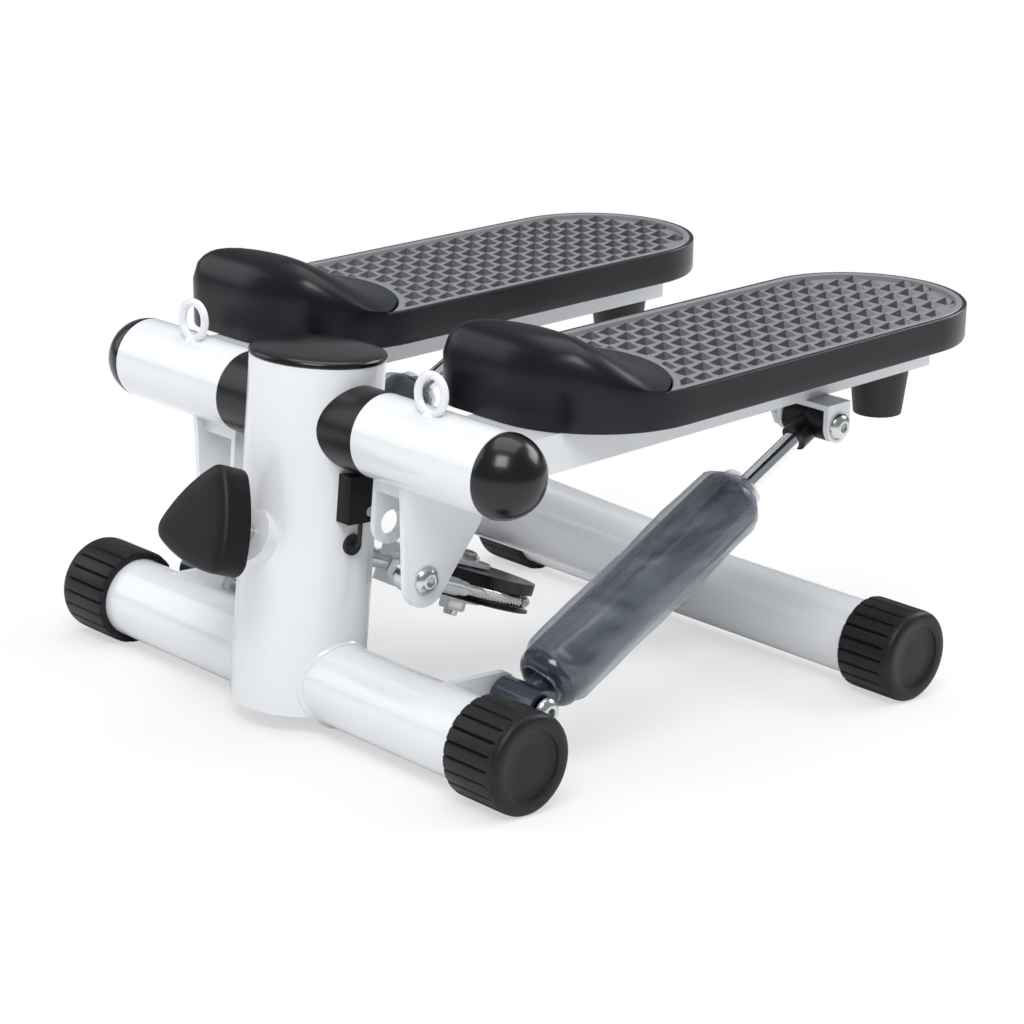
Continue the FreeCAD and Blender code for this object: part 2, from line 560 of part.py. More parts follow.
# ---------------------------------------------------------------- dampers
def damper(side):
    x = side * value("damper_x")
    way = DAMPER_WAY
    half = value("barrel_wide / 2")

    def at(along):
        point = LOW_PIVOT + way * along
        return (x, point.y, point.z)

    low, high = value("damper_from"), value("damper_to")
    radius = "damper_dia / 2"
    length = "damper_to - damper_from"
    tube = lathe([(0, 0), (radius, 0), (radius, length), ("piston_rod_dia / 2 + 3", length),
                  ("piston_rod_dia / 2 + 3", f"{length} - 3 * damper_wall"),
                  (f"{radius} - damper_wall", f"{length} - 3 * damper_wall"),
                  (f"{radius} - damper_wall", "3 * damper_wall"), (0, "3 * damper_wall")])
    rounded(tube, "damper_round", lambda e: isinstance(e.Curve, Part.Circle)
            and abs(e.Curve.Radius - value(radius)) < 1e-6)
    place(tube, at(low), turn(way))
    foot = rod("barrel_dia * 0.7", "damper_from + 1", at(0), way)
    barrel = rod("barrel_dia", "barrel_wide", (x - half, LOW_PIVOT.y, LOW_PIVOT.z), EX)
    bore = rod("bolt_dia + 2 * pin_play", "barrel_wide", (x - half, LOW_PIVOT.y, LOW_PIVOT.z), EX)
    finish(cut(fuse(tube, foot, barrel), bore), side_name("damper_cylinder", side))

    gland = lathe([("piston_rod_dia / 2 + run_gap", 0), ("piston_rod_dia / 2 + 3 - press_gap", 0),
                   ("piston_rod_dia / 2 + 3 - press_gap", "3 * damper_wall"),
                   ("gland_dia / 2", "3 * damper_wall"),
                   ("gland_dia / 2", "3 * damper_wall + gland_out"),
                   ("piston_rod_dia / 2 + run_gap", "3 * damper_wall + gland_out")],
                  at(high - value("3 * damper_wall")), way)
    finish(gland, side_name("damper_gland", side))

    socket = value("eye_end_dia / 2 - 2")
    start = value("piston_at")
    reach = f"{DAMPER_LONG - socket} - piston_at"
    piston = rod("damper_dia - 2 * damper_wall - 2 * run_gap", "piston_len", at(start), way)
    finish(fuse(rod("piston_rod_dia", reach, at(start), way), piston), side_name("damper_rod", side))

    top = (x - half, TOP_PIVOT.y, TOP_PIVOT.z)
    eye = fuse(rod("eye_end_dia", "barrel_wide", top, EX),
               rod("piston_rod_dia + 5", "eye_end_dia / 2 + 8", at(DAMPER_LONG), way * -1))
    eye = cut(eye, rod("bolt_dia + 2 * run_gap", "barrel_wide", top, EX),
              rod("piston_rod_dia", "2 * eye_end_dia", at(DAMPER_LONG - socket), way * -1))
    finish(eye, side_name("rod_end", side))


def damper_lug(side):
    """The plate on the front bar that holds a damper's lower bolt."""
    reach = "damper_x - barrel_wide / 2 - side_gap - pin_play / 2"
    start = across(f"{reach} - plate - 1", reach, side)
    thick = "plate + 1"
    y, z = LOW_PIVOT.y, LOW_PIVOT.z
    round_end = rod("2 * lug_round", thick, (start, y, z), EX)
    shank = box((thick, "damper_low_y", "2 * lug_round"), (start, 0, z - value("lug_round")))
    bar = rod("bar_dia", "front_width", (value("-front_width / 2"), 0, BAR_Z), EX)
    hole = rod("bolt_dia + 2 * run_gap", "front_width", (value("-front_width / 2"), y, z), EX)
    return cut(fuse(round_end, shank), bar, hole)


# ---------------------------------------------------------------- cable, pulley and adjuster
def cable_side(side):
    """Eye, ferrule and the straight stretch of cable from a lever to the pulley."""
    eye = Vector(side * value("eye_x"), LEVER_BOLT.y, LEVER_BOLT.z)
    tangent = GROOVE + (EX * side * math.cos(LEAVE) + DOWN_BACK * math.sin(LEAVE)) * value("groove_dia / 2")
    reach = (tangent - eye).Length
    way = (tangent - eye).normalize()
    ring = rod("eye_dia", "eye_wide", (eye.x - value("eye_wide / 2"), eye.y, eye.z), EX)
    neck = rod("ferrule_dia / 2", "ferrule_len / 2", tuple(eye + way * value("eye_dia / 2 - 3")), way)
    collar = rod("ferrule_dia", "ferrule_len * 0.42", tuple(eye + way * value("ferrule_len * 0.45")), way)
    tail = rod("cable_dia + 2", "ferrule_len * 0.2", tuple(eye + way * value("ferrule_len * 0.85")), way)
    bore = rod("bolt_dia + 2 * run_gap", "2 * eye_wide", (eye.x - value("eye_wide"), eye.y, eye.z), EX)
    cable_hole = rod("cable_dia", "ferrule_len", tuple(eye + way * value("ferrule_len * 0.6")), way)
    finish(cut(fuse(ring, neck, collar, tail), bore, cable_hole), side_name("ferrule", side))
    cable = rod("cable_dia", f"{reach} - ferrule_len * 0.6",
                tuple(eye + way * value("ferrule_len * 0.6")), way)
    finish(cable, side_name("cable", side))


def pulley():
    half = "pulley_wide / 2"
    lip = "pulley_dia / 2"
    floor = "(groove_dia - cable_dia) / 2 - 0.3"
    slack = "cable_dia / 2 + groove_play"
    bore = "bolt_dia / 2 + run_gap"
    wheel = lathe([(bore, f"-{half}"), (lip, f"-{half}"), (lip, f"-groove_drop - ({slack})"),
                   (floor, f"-groove_drop - ({slack})"), (floor, f"{slack} - groove_drop"),
                   (lip, f"{slack} - groove_drop"), (lip, half), (bore, half)],
                  tuple(PULLEY), PULLEY_UP)
    finish(wheel, "pulley")
    start = LEAVE + value("wrap_gap / (groove_dia / 2)")
    wrap = primitive("Torus", {"Radius1": "groove_dia / 2", "Radius2": "cable_dia / 2",
                               "Angle3": str(180 - 2 * math.degrees(start))})
    spun = Rotation(EZ, math.degrees(start))
    wrap.Placement = Placement(GROOVE, Rotation(EX, DOWN_BACK, PULLEY_UP, "ZXY").multiply(spun))
    finish(wrap, "cable_wrap")

    away = "(pulley_wide / 2 + fork_gap)"
    plates = []
    for low in (away, f"-{away} - fork_plate"):
        corner = PULLEY + PULLEY_UP * value(low)
        strip = box(("fork_wide", "fork_reach", "fork_plate"), (0, 0, 0))
        flat = Rotation(EX, DOWN_BACK, PULLEY_UP, "ZXY")
        strip.Placement = Placement(corner - EX * value("fork_wide / 2") - DOWN_BACK * value("fork_reach"),
                                    flat)
        plates.append(fuse(strip, rod("fork_wide", "fork_plate", tuple(corner), PULLEY_UP)))
    web = box(("fork_wide", "fork_web", f"2 * ({away} + fork_plate)"), (0, 0, 0))
    web.Placement = Placement(PULLEY - EX * value("fork_wide / 2") - DOWN_BACK * value("fork_reach")
                              - PULLEY_UP * value(f"{away} + fork_plate"), flat)
    nut = hexagon("head_flat", "nut_tall", tuple(on_rod("fork_reach + nut_tall")), DOWN_BACK)
    fork = cut(fuse(web, nut, *plates),
               rod("bolt_dia + 2 * run_gap", "4 * pulley_wide",
                   tuple(PULLEY - PULLEY_UP * value("2 * pulley_wide")), PULLEY_UP),
               rod("rod_dia", "nut_tall + fork_web + 2", tuple(on_rod("fork_reach + nut_tall + 1")),
                   DOWN_BACK))
    finish(fork, "pulley_fork")
    top = PULLEY + PULLEY_UP * value(f"{away} + fork_plate")
    head = hexagon("head_flat", "head_tall", tuple(top), PULLEY_UP)
    shank = rod("bolt_dia", f"2 * ({away} + fork_plate) + nut_tall + 2", tuple(top), PULLEY_UP * -1)
    low = PULLEY - PULLEY_UP * value(f"{away} + fork_plate")
    nut = cut(hexagon("head_flat", "nut_tall", tuple(low), PULLEY_UP * -1),
              rod("bolt_dia", "3 * nut_tall", tuple(low + PULLEY_UP * 3), PULLEY_UP * -1))
    group("pulley_bolt", fuse(head, shank), nut)


def knob():
    """Three-lobed knob and the screw that draws the pulley's fork forward."""
    screw = rod("rod_dia - 2 * run_gap", "knob_back + knob_socket - screw_end",
                tuple(on_rod("knob_back + knob_socket")), DOWN_BACK)
    finish(screw, "adjuster_screw")
    flat = Rotation(EX, PULLEY_UP, DOWN_BACK * -1, "ZXY")
    centre = on_rod("knob_back")
    discs = []
    for angle in [value("knob_angle") + turned for turned in (180, 60, -60)]:
        lobe = Vector(math.cos(math.radians(angle)), math.sin(math.radians(angle)), 0)
        disc = rod("2 * knob_bow", "knob_deep", (0, 0, 0))
        middle = lobe * value("knob_bow - knob_flat")
        disc.Placement = Placement(centre, flat).multiply(Placement(middle, Rotation()))
        discs.append(disc)
    core = combine("Common", *discs)
    body = doc.addObject("Part::Fillet", "knob_body")
    body.Base = core
    edges = [(n, value("knob_round"), value("knob_round"))
             for n, edge in enumerate(core.Shape.Edges, start=1)
             if isinstance(edge.Curve, Part.Line)]
    body.Edges = edges
    doc.recompute()
    socket = rod("rod_dia - 2 * run_gap", "knob_socket", tuple(on_rod("knob_back + knob_socket")),
                 DOWN_BACK)
    finish(cut(body, socket), "knob")


# ---------------------------------------------------------------- counter sensor
def sensor():
    wide, out = value("sensor_wide"), value("post_dia / 2")
    block = cut(box(("sensor_out + 3", "sensor_wide", "sensor_tall"),
                    (out - 3, -wide / 2, value("sensor_base"))),
                rod("post_dia", "2 * post_top", (0, 0, 0)))
    face = out + value("sensor_out")
    hole = rod("3", "6", (face - 3, value("sensor_wide / 8"), value("sensor_base + 6")), EX)
    finish(cut(block, hole), "sensor_block")
    head = rod("5", "1.5", (face, value("sensor_wide / 8"), value("sensor_base + 6")), EX)
    shank = rod("3", "3", (face - 3, value("sensor_wide / 8"), value("sensor_base + 6")), EX)
    finish(fuse(head, shank), "sensor_screw")
    bend = 4.0
    y = 0.0
    x = out + bend + 1.6
    low = value("grommet_z") + bend
    down = rod("wire_dia", f"sensor_base - {low}", (x, y, low))
    arc = primitive("Torus", {"Radius1": str(bend), "Radius2": "wire_dia / 2", "Angle3": "90"})
    arc.Placement = Placement(Vector(x - bend, y, low), Rotation(EX, -90))
    inside = rod("wire_dia", "10", (x - bend, y, low - bend), EX * -1)
    finish(fuse(down, arc, inside), "sensor_wire")
    grommet = cut(rod("grommet_dia", "3.5", (out - 2, y, value("grommet_z")), EX),
                  rod("post_dia", "2 * post_top", (0, 0, 0)),
                  rod("wire_dia + 0.2", "8", (out - 4, y, value("grommet_z")), EX))
    finish(grommet, "wire_grommet")


# ---------------------------------------------------------------- assembly and export
def stand_on_origin():
    """Shift every sub-part so that the middle of the whole box is at y = 0."""
    low = min(part.Shape.BoundBox.YMin for part in SUBPARTS.values())
    high = max(part.Shape.BoundBox.YMax for part in SUBPARTS.values())
    shift = Vector(0, -(low + high) / 2, 0)
    for part in SUBPARTS.values():
        part.Placement = Placement(shift, Rotation()).multiply(part.Placement)
    doc.recompute()
    return shift


def check_all():
    for thing in doc.Objects:
        if {"Invalid", "Error"} & set(thing.State):
            raise RuntimeError(f"{thing.Label} ({thing.Name}) failed: {thing.State}")
    for label, part in SUBPARTS.items():
        if part.Shape.isNull() or not part.Shape.isValid() or not part.Shape.Solids:
            raise RuntimeError(f"{label} has no valid shape")


def main():
    frame()
    pivot()
    sensor()
    for side in (1, -1):
        sleeve(side)
        ball_cap(side)
        pedal_plate(side)
        pedal_arm(side)
        lever(side)
        eyebolt(side)
        damper(side)
        cable_side(side)
    lugs = [damper_lug(side) for side in (1, -1)]
    group("damper_lugs", *lugs)
    bolts = []
    for side in (1, -1):
        bolts += through_bolt(side, "damper_x - barrel_wide / 2 - side_gap - pin_play / 2 - plate - 1",
                              "damper_x + barrel_wide / 2 + side_gap + pin_play / 2",
                              LOW_PIVOT.y, LOW_PIVOT.z)
    group("lower_pivot_bolts", *bolts)
    pulley()
    knob()
    shift = stand_on_origin()
    check_all()
    os.makedirs("parts", exist_ok=True)
    for label, part in SUBPARTS.items():
        part.Shape.exportStep(f"parts/{label}.step")
    print(f"{len(SUBPARTS)} nodes, front bar axis at y {shift.y:.3f}")
    for name, point in (("lever bolt", LEVER_BOLT), ("low pivot", LOW_PIVOT), ("top pivot", TOP_PIVOT),
                        ("pulley", PULLEY)):
        print(f"{name}: y {point.y + shift.y:.3f} z {point.z:.3f}")
    print(f"adjuster slope {math.degrees(SLOPE):.3f}, cable leaves at {math.degrees(LEAVE):.3f}")


main()
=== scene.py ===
"""Looks for the mini stepper: modelled pieces, finishes and a studio round the fixed CAD frame."""

import json
import math

import bmesh
import bpy
from bpy.props import FloatProperty, FloatVectorProperty, IntProperty, PointerProperty
from mathutils import Matrix, Vector, noise


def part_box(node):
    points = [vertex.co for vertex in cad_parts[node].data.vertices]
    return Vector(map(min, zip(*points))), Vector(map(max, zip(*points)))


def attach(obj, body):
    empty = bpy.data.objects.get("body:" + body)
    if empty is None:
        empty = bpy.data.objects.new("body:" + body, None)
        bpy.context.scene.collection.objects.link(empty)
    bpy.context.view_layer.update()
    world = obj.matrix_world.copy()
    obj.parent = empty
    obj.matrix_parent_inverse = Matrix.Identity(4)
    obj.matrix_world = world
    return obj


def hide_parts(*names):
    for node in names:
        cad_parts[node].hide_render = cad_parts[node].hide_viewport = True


bl_info = {
    "name": "Mini stepper",
    "version": (1, 0, 0),
    "blender": (4, 5, 0),
    "location": "View3D > Sidebar > Stepper",
    "description": "Builds the detailed pieces and finishes of a mini stepper",
    "category": "Object",
}

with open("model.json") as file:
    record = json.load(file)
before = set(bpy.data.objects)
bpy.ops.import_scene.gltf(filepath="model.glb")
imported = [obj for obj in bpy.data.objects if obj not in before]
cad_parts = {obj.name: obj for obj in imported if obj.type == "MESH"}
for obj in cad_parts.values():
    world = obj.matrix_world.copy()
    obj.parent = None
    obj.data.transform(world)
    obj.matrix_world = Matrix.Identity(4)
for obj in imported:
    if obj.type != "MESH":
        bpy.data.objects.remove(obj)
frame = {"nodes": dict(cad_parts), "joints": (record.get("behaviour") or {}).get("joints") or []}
SIDES = {"right": 1, "left": -1}
EX, EY, EZ = Vector((1, 0, 0)), Vector((0, 1, 0)), Vector((0, 0, 1))


# ---- settings
def length(name, default, description):
    """A length setting in metres, shown in the scene's units."""
    return FloatProperty(name=name, default=default, description=description, unit="LENGTH",
                         subtype="DISTANCE", precision=5)


def degrees(name, default, description):
    """An angle setting, given here in degrees."""
    return FloatProperty(name=name, default=math.radians(default), description=description,
                         unit="ROTATION", subtype="ANGLE")


class PedalSettings(bpy.types.PropertyGroup):
    tilt: degrees("Tilt", 5.4, "Slope of the foot plates at rest, heel up")
    middle: length("Middle", 0.101, "Distance of a plate's centre line from the machine's")
    half: length("Half width", 0.059, "Half of a plate's width")
    toe: length("Toe", 0.038, "From the pivot's axis to the toe")
    left: length("Left toe corner", 0.020, "Corner radius of the toe on its left")
    right: length("Right toe corner", 0.066, "Corner radius of the toe on its right")
    heel: length("Heel", 0.362, "From the pivot's axis to the heel")
    low: length("Underside", 0.0085, "Height of the underside above the pivot's axis")
    top: length("Top", 0.028, "Height of the tread's highest points above the pivot's axis")
    seat: length("Seat", 0.025, "Height at which the tread lies")
    arc_side: length("Hood end at the sides", 0.084, "Where the hood's edge meets the plate's sides")
    arc_middle: length("Hood end in the middle", 0.124, "Where the hood's edge crosses the centre line")
    crown: length("Crown", 0.0535, "Height of the hood above the pivot's axis")
    crown_at: length("Crown's place", 0.062, "How far in front of the hood's edge it is at its full height")
    shoulder: length("Shoulder", 0.022, "Width of the rounding from the hood's wall to its crown")
    wall_rise: length("Wall rise", 0.0075, "How far the hood's wall stands above the tread")
    lip: length("Lip", 0.0007, "How far the hood's edge stands above the tread")
    rim: length("Rim", 0.0042, "Width of the tread's border")
    pitch: length("Pitch", 0.0131, "Spacing of the tread's pyramids")
    base: length("Pyramid base", 0.0086, "Width of a pyramid's foot")
    stud: length("Pyramid height", 0.0029, "Height of a pyramid")


class FootSettings(bpy.types.PropertyGroup):
    radius: length("Radius", 0.026, "Outer radius of a foot cap")
    long: length("Length", 0.036, "Length of a foot cap along its tube")
    ribs: IntProperty(name="Ribs", default=22, description="Number of grip ribs")
    groove: length("Groove depth", 0.0014, "Depth of the grooves between the ribs")
    ring: length("Recess radius", 0.0172, "Radius of the recess in the end")
    bore: length("Bore", 0.0217, "Radius of the hole that takes the tube")


class KnobSettings(bpy.types.PropertyGroup):
    bow: length("Bow", 0.088, "Radius of the three bowed sides")
    flat: length("Flat", 0.0216, "Distance of a side's middle from the axis")
    corner: length("Corner", 0.0082, "Radius of the lobes")
    deep: length("Depth", 0.0185, "Depth of the knob")
    reach: length("Reach", 0.1735, "From the pulley's centre to the knob's back")
    turn: degrees("Turn", 22, "How far the knob is turned from a level lobe")


class DamperSettings(bpy.types.PropertyGroup):
    film: length("Film radius", 0.0196, "Usual radius of the plastic film round a damper")
    loose: length("Slack", 0.0016, "How far the film's folds stand out")
    between: length("Between pivots", 0.2368, "From a damper's lower pivot to its upper one, at rest")
    start: length("Film start", 0.0125, "From the lower pivot to the film's lower end")
    run: length("Film length", 0.1625, "Length of the film along the damper")


class CableSettings(bpy.types.PropertyGroup):
    radius: length("Radius", 0.0028, "Radius of the cable")
    strands: IntProperty(name="Strands", default=6, description="Strands twisted round the core")
    lay: length("Lay", 0.024, "Length of one turn of a strand")
    start: length("Start", 0.0336, "From the lever bolt to the end of the ferrule")
    groove: length("Groove radius", 0.037, "Radius of the pulley's groove")
    drop: length("Groove drop", 0.0025, "How far the groove lies under the pulley's middle")
    leave: degrees("Leaving angle", 17.437, "Angle at which the cable leaves the pulley")


class BoltSettings(bpy.types.PropertyGroup):
    button: length("Button radius", 0.0075, "Radius of a button head")
    tall: length("Button height", 0.004, "Height of a button head")
    socket: length("Socket", 0.005, "Width across the flats of the socket")
    deep: length("Socket depth", 0.0025, "Depth of the socket")
    shank: length("Shank radius", 0.004, "Radius of a bolt's shank")
    flat: length("Flats", 0.013, "Width across the flats of a nut or hex head")
    head: length("Hex head height", 0.005, "Height of a hex head")
    nut: length("Nut height", 0.006, "Height of a nut")
    fork: length("Fork", 0.0113, "From the pulley's middle to the outside of its fork")
    lug: length("Lug", 0.004, "How much further the lower bolts reach inwards than outwards")
    beyond: length("Beyond the nut", 0.003, "How far a bolt's end stands out of its nut")


class StageSettings(bpy.types.PropertyGroup):
    target: FloatVectorProperty(name="Target", size=3, default=(0.05869, -0.05237, 0.11137),
                                subtype="TRANSLATION", unit="LENGTH",
                                description="Point in the middle of the picture")
    distance: length("Distance", 1.45024, "Camera's distance from the target")
    azimuth: degrees("Azimuth", 44.75, "Camera's angle round the object from its front")
    elevation: degrees("Elevation", 14.95, "Camera's angle above the horizon")
    roll: degrees("Roll", -4.65, "Camera's turn about its own view")
    lens: FloatProperty(name="Lens", default=99.0, description="Focal length in millimetres")


class StepperSettings(bpy.types.PropertyGroup):
    pedal: PointerProperty(type=PedalSettings)
    foot: PointerProperty(type=FootSettings)
    knob: PointerProperty(type=KnobSettings)
    damper: PointerProperty(type=DamperSettings)
    cable: PointerProperty(type=CableSettings)
    bolt: PointerProperty(type=BoltSettings)
    stage: PointerProperty(type=StageSettings)


# ---- places
def middle_of(node):
    """The middle of a CAD node's box."""
    low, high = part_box(node)
    return (low + high) / 2


def joint(name):
    """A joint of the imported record, by its name."""
    return [j for j in frame["joints"] if j["name"] == name][0]


def place_of(name):
    """Where a joint is at rest."""
    return Vector(joint(name)["pos_m"])


def axis_of(name):
    """The direction of a joint's axis."""
    return Vector(joint(name)["axis"]).normalized()


def on_pedal(p, x, along, height):
    """A point given in a foot plate's own directions, in the row frame."""
    tilted = Matrix.Rotation(p.tilt, 3, "X") @ Vector((0, along, height))
    return place_of("pedal_right") + tilted + EX * x


def square_to(way):
    """Two directions square to a third: the first is level where that is possible."""
    first = way.cross(EZ)
    if first.length < 1e-6:
        first = EX.copy()
    first.normalize()
    return first, way.cross(first).normalized()


# ---- mesh building
def new_object(name, bm, body, finish, smooth=True, nodes=(), second=None):
    """Turn a bmesh into a finished piece that rides on a body and stands for CAD nodes."""
    bmesh.ops.recalc_face_normals(bm, faces=bm.faces)
    for face in bm.faces:
        face.smooth = smooth
    mesh = bpy.data.meshes.new(name)
    bm.to_mesh(mesh)
    bm.free()
    if smooth:
        mesh.set_sharp_from_angle(angle=math.radians(38))
    piece = bpy.data.objects.new(name, mesh)
    bpy.context.scene.collection.objects.link(piece)
    mesh.materials.append(finish)
    if second:
        mesh.materials.append(second)
    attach(piece, body)
    if nodes:
        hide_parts(*nodes)
    return piece


def loft(bm, rings, cap_first=False, cap_last=False):
    """Skin a list of closed rings of points; returns the rings' vertices."""
    made = [[bm.verts.new(point) for point in ring] for ring in rings]
    count = len(made[0])
    for low, high in zip(made, made[1:]):
        for n in range(count):
            bm.faces.new((low[n], low[(n + 1) % count], high[(n + 1) % count], high[n]))
    if cap_first:
        bm.faces.new(made[0][::-1])
    if cap_last:
        bm.faces.new(made[-1])
    return made


def circle(centre, way, radius, count):
    """Points of a circle square to a direction."""
    first, second = square_to(way)
    angles = [2 * math.pi * n / count for n in range(count)]
    return [centre + (first * math.cos(a) + second * math.sin(a)) * radius for a in angles]


def turned(bm, start, way, profile, count=64):
    """A turned shape: (radius, distance along) pairs from a point; zero radii close its ends."""
    profile = [(max(radius, 1e-5), along) for radius, along in profile]
    return loft(bm, [circle(start + way * along, way, radius, count) for radius, along in profile],
                cap_first=True, cap_last=True)


def tube(bm, path, radius, sides=8, closed=False):
    """A round bar along a path of points."""
    rings = []
    count = len(path)
    reference = None
    for n, point in enumerate(path):
        before = path[(n - 1) % count] if closed or n else path[0]
        after = path[(n + 1) % count] if closed or n < count - 1 else path[-1]
        way = (after - before).normalized()
        if reference is None:
            reference, _ = square_to(way)
        reference = (reference - way * reference.dot(way)).normalized()
        side = way.cross(reference)
        angles = [2 * math.pi * k / sides for k in range(sides)]
        rings.append([point + (reference * math.cos(a) + side * math.sin(a)) * radius for a in angles])
    if closed:
        rings.append(rings[0])
    loft(bm, rings, cap_first=not closed, cap_last=not closed)
    if closed:
        bmesh.ops.remove_doubles(bm, verts=bm.verts, dist=1e-6)


def hex_piece(bm, start, way, flat, tall):
    """A hex head or nut with chamfered corners, standing on a point."""
    corner = flat / 2 / math.cos(math.pi / 6)
    levels = [(corner, 0), (corner, tall * 0.8), (corner * 0.93, tall)]
    loft(bm, [circle(start + way * along, way, radius, 6) for radius, along in levels],
         cap_first=True, cap_last=True)


# ---- materials
def socket_group(name, inputs, outputs):
    """An empty shader group with the stated sockets."""
    group = bpy.data.node_groups.new(name, "ShaderNodeTree")
    for label, kind, default in inputs:
        made = group.interface.new_socket(label, in_out="INPUT", socket_type=kind)
        if default is not None:
            made.default_value = default
    for label, kind in outputs:
        group.interface.new_socket(label, in_out="OUTPUT", socket_type=kind)
    start = group.nodes.new("NodeGroupInput")
    end = group.nodes.new("NodeGroupOutput")
    return group, start, end


def add(tree, kind, feeds=None, **values):
    """A node with properties or input sockets set by name, and sockets fed by outputs or numbers."""
    node = tree.nodes.new(kind)
    for name, number in values.items():
        if hasattr(node, name):
            setattr(node, name, number)
        else:
            node.inputs[name.replace("_", " ")].default_value = number
    for socket, source in (feeds or {}).items():
        if isinstance(source, (int, float)):
            node.inputs[socket].default_value = source
        else:
            tree.links.new(source, node.inputs[socket])
    return node


def fill(tree, node, **sources):
    """Feed a node's input sockets from outputs."""
    for name, source in sources.items():
        tree.links.new(source, node.inputs[name.replace("_", " ")])


def surface_group():
    """Fine grain and gentle variation shared by the plain finishes."""
    group, start, end = socket_group(
        "surface_grain",
        [("Color", "NodeSocketColor", (0.8, 0.8, 0.8, 1)), ("Roughness", "NodeSocketFloat", 0.4),
         ("Scale", "NodeSocketFloat", 400.0), ("Variation", "NodeSocketFloat", 0.06)],
        [("Color", "NodeSocketColor"), ("Roughness", "NodeSocketFloat"), ("Height", "NodeSocketFloat")])
    given = start.outputs
    place = add(group, "ShaderNodeTexCoord").outputs["Object"]
    fine = add(group, "ShaderNodeTexNoise", {"Vector": place, "Scale": given["Scale"]}, Detail=3.0)
    broad = add(group, "ShaderNodeTexNoise", {"Vector": place}, Scale=14.0, Detail=2.0)
    shift = add(group, "ShaderNodeMath", {0: broad.outputs["Fac"], 1: 0.5}, operation="SUBTRACT")
    amount = add(group, "ShaderNodeMath", {0: shift.outputs[0], 1: given["Variation"]},
                 operation="MULTIPLY")
    rough = add(group, "ShaderNodeMath", {0: given["Roughness"], 1: amount.outputs[0]}, operation="ADD")
    bright = add(group, "ShaderNodeMath", {0: amount.outputs[0], 1: 1.0}, operation="ADD")
    tint = add(group, "ShaderNodeHueSaturation", {"Value": bright.outputs[0], "Color": given["Color"]})
    fill(group, end, Color=tint.outputs["Color"], Roughness=rough.outputs[0], Height=fine.outputs["Fac"])
    return group


def wrinkle_group():
    """Long folds and small creases of thin plastic film."""
    group, start, end = socket_group(
        "film_wrinkles",
        [("Scale", "NodeSocketFloat", 60.0), ("Clear", "NodeSocketFloat", 0.16)],
        [("Height", "NodeSocketFloat"), ("Alpha", "NodeSocketFloat")])
    place = add(group, "ShaderNodeTexCoord").outputs["Object"]
    stretch = add(group, "ShaderNodeMapping", {"Vector": place})
    stretch.inputs["Rotation"].default_value = (math.radians(31), 0, 0)
    stretch.inputs["Scale"].default_value = (1.0, 0.28, 1.0)
    folds = add(group, "ShaderNodeTexNoise", {"Vector": stretch.outputs["Vector"],
                                              "Scale": start.outputs["Scale"]}, Detail=4.0, Distortion=1.2)
    spread = add(group, "ShaderNodeMapRange", {"Value": folds.outputs["Fac"]},
                 From_Min=0.35, From_Max=0.7, To_Max=0.3)
    total = add(group, "ShaderNodeMath", {0: spread.outputs["Result"], 1: start.outputs["Clear"]},
                operation="ADD", use_clamp=True)
    fill(group, end, Height=folds.outputs["Fac"], Alpha=total.outputs[0])
    return group


def plain_finish(name, color, roughness, metallic=0.0, coat=0.0, scale=400.0, bump=0.02, variation=0.06,
                 shine=0.5):
    """A Principled material fed by the shared grain."""
    material = bpy.data.materials.new(name)
    material.use_nodes = True
    tree = material.node_tree
    shader = tree.nodes["Principled BSDF"]
    shader.inputs["Metallic"].default_value = metallic
    shader.inputs["Coat Weight"].default_value = coat
    shader.inputs["Coat Roughness"].default_value = 0.06
    shader.inputs["Specular IOR Level"].default_value = shine
    shared = bpy.data.node_groups.get("surface_grain") or surface_group()
    grain = add(tree, "ShaderNodeGroup", node_tree=shared)
    grain.inputs["Color"].default_value = (*color, 1)
    for socket, number in (("Roughness", roughness), ("Scale", scale), ("Variation", variation)):
        grain.inputs[socket].default_value = number
    raised = add(tree, "ShaderNodeBump", {"Height": grain.outputs["Height"]}, Strength=bump, Distance=0.001)
    fill(tree, shader, Base_Color=grain.outputs["Color"], Roughness=grain.outputs["Roughness"],
         Normal=raised.outputs["Normal"])
    return material


def floor_finish():
    """Pale paper that turns to plain white away from the object."""
    material = plain_finish("floor_paper", (0.90, 0.90, 0.90), 0.9, bump=0.0, variation=0.0)
    tree = material.node_tree
    place = add(tree, "ShaderNodeTexCoord").outputs["Object"]
    away = add(tree, "ShaderNodeVectorMath", {0: place}, operation="LENGTH")
    fade = add(tree, "ShaderNodeMapRange", {"Value": away.outputs["Value"]},
               interpolation_type="SMOOTHSTEP", From_Min=0.15, From_Max=0.75, To_Min=0.55)
    seen = add(tree, "ShaderNodeLightPath").outputs["Is Camera Ray"]
    amount = add(tree, "ShaderNodeMath", {0: fade.outputs["Result"], 1: seen}, operation="MULTIPLY")
    white = add(tree, "ShaderNodeEmission", Strength=1.0)
    paper = tree.nodes["Principled BSDF"]
    mix = add(tree, "ShaderNodeMixShader", {0: amount.outputs[0], 1: paper.outputs[0], 2: white.outputs[0]})
    fill(tree, tree.nodes["Material Output"], Surface=mix.outputs[0])
    return material


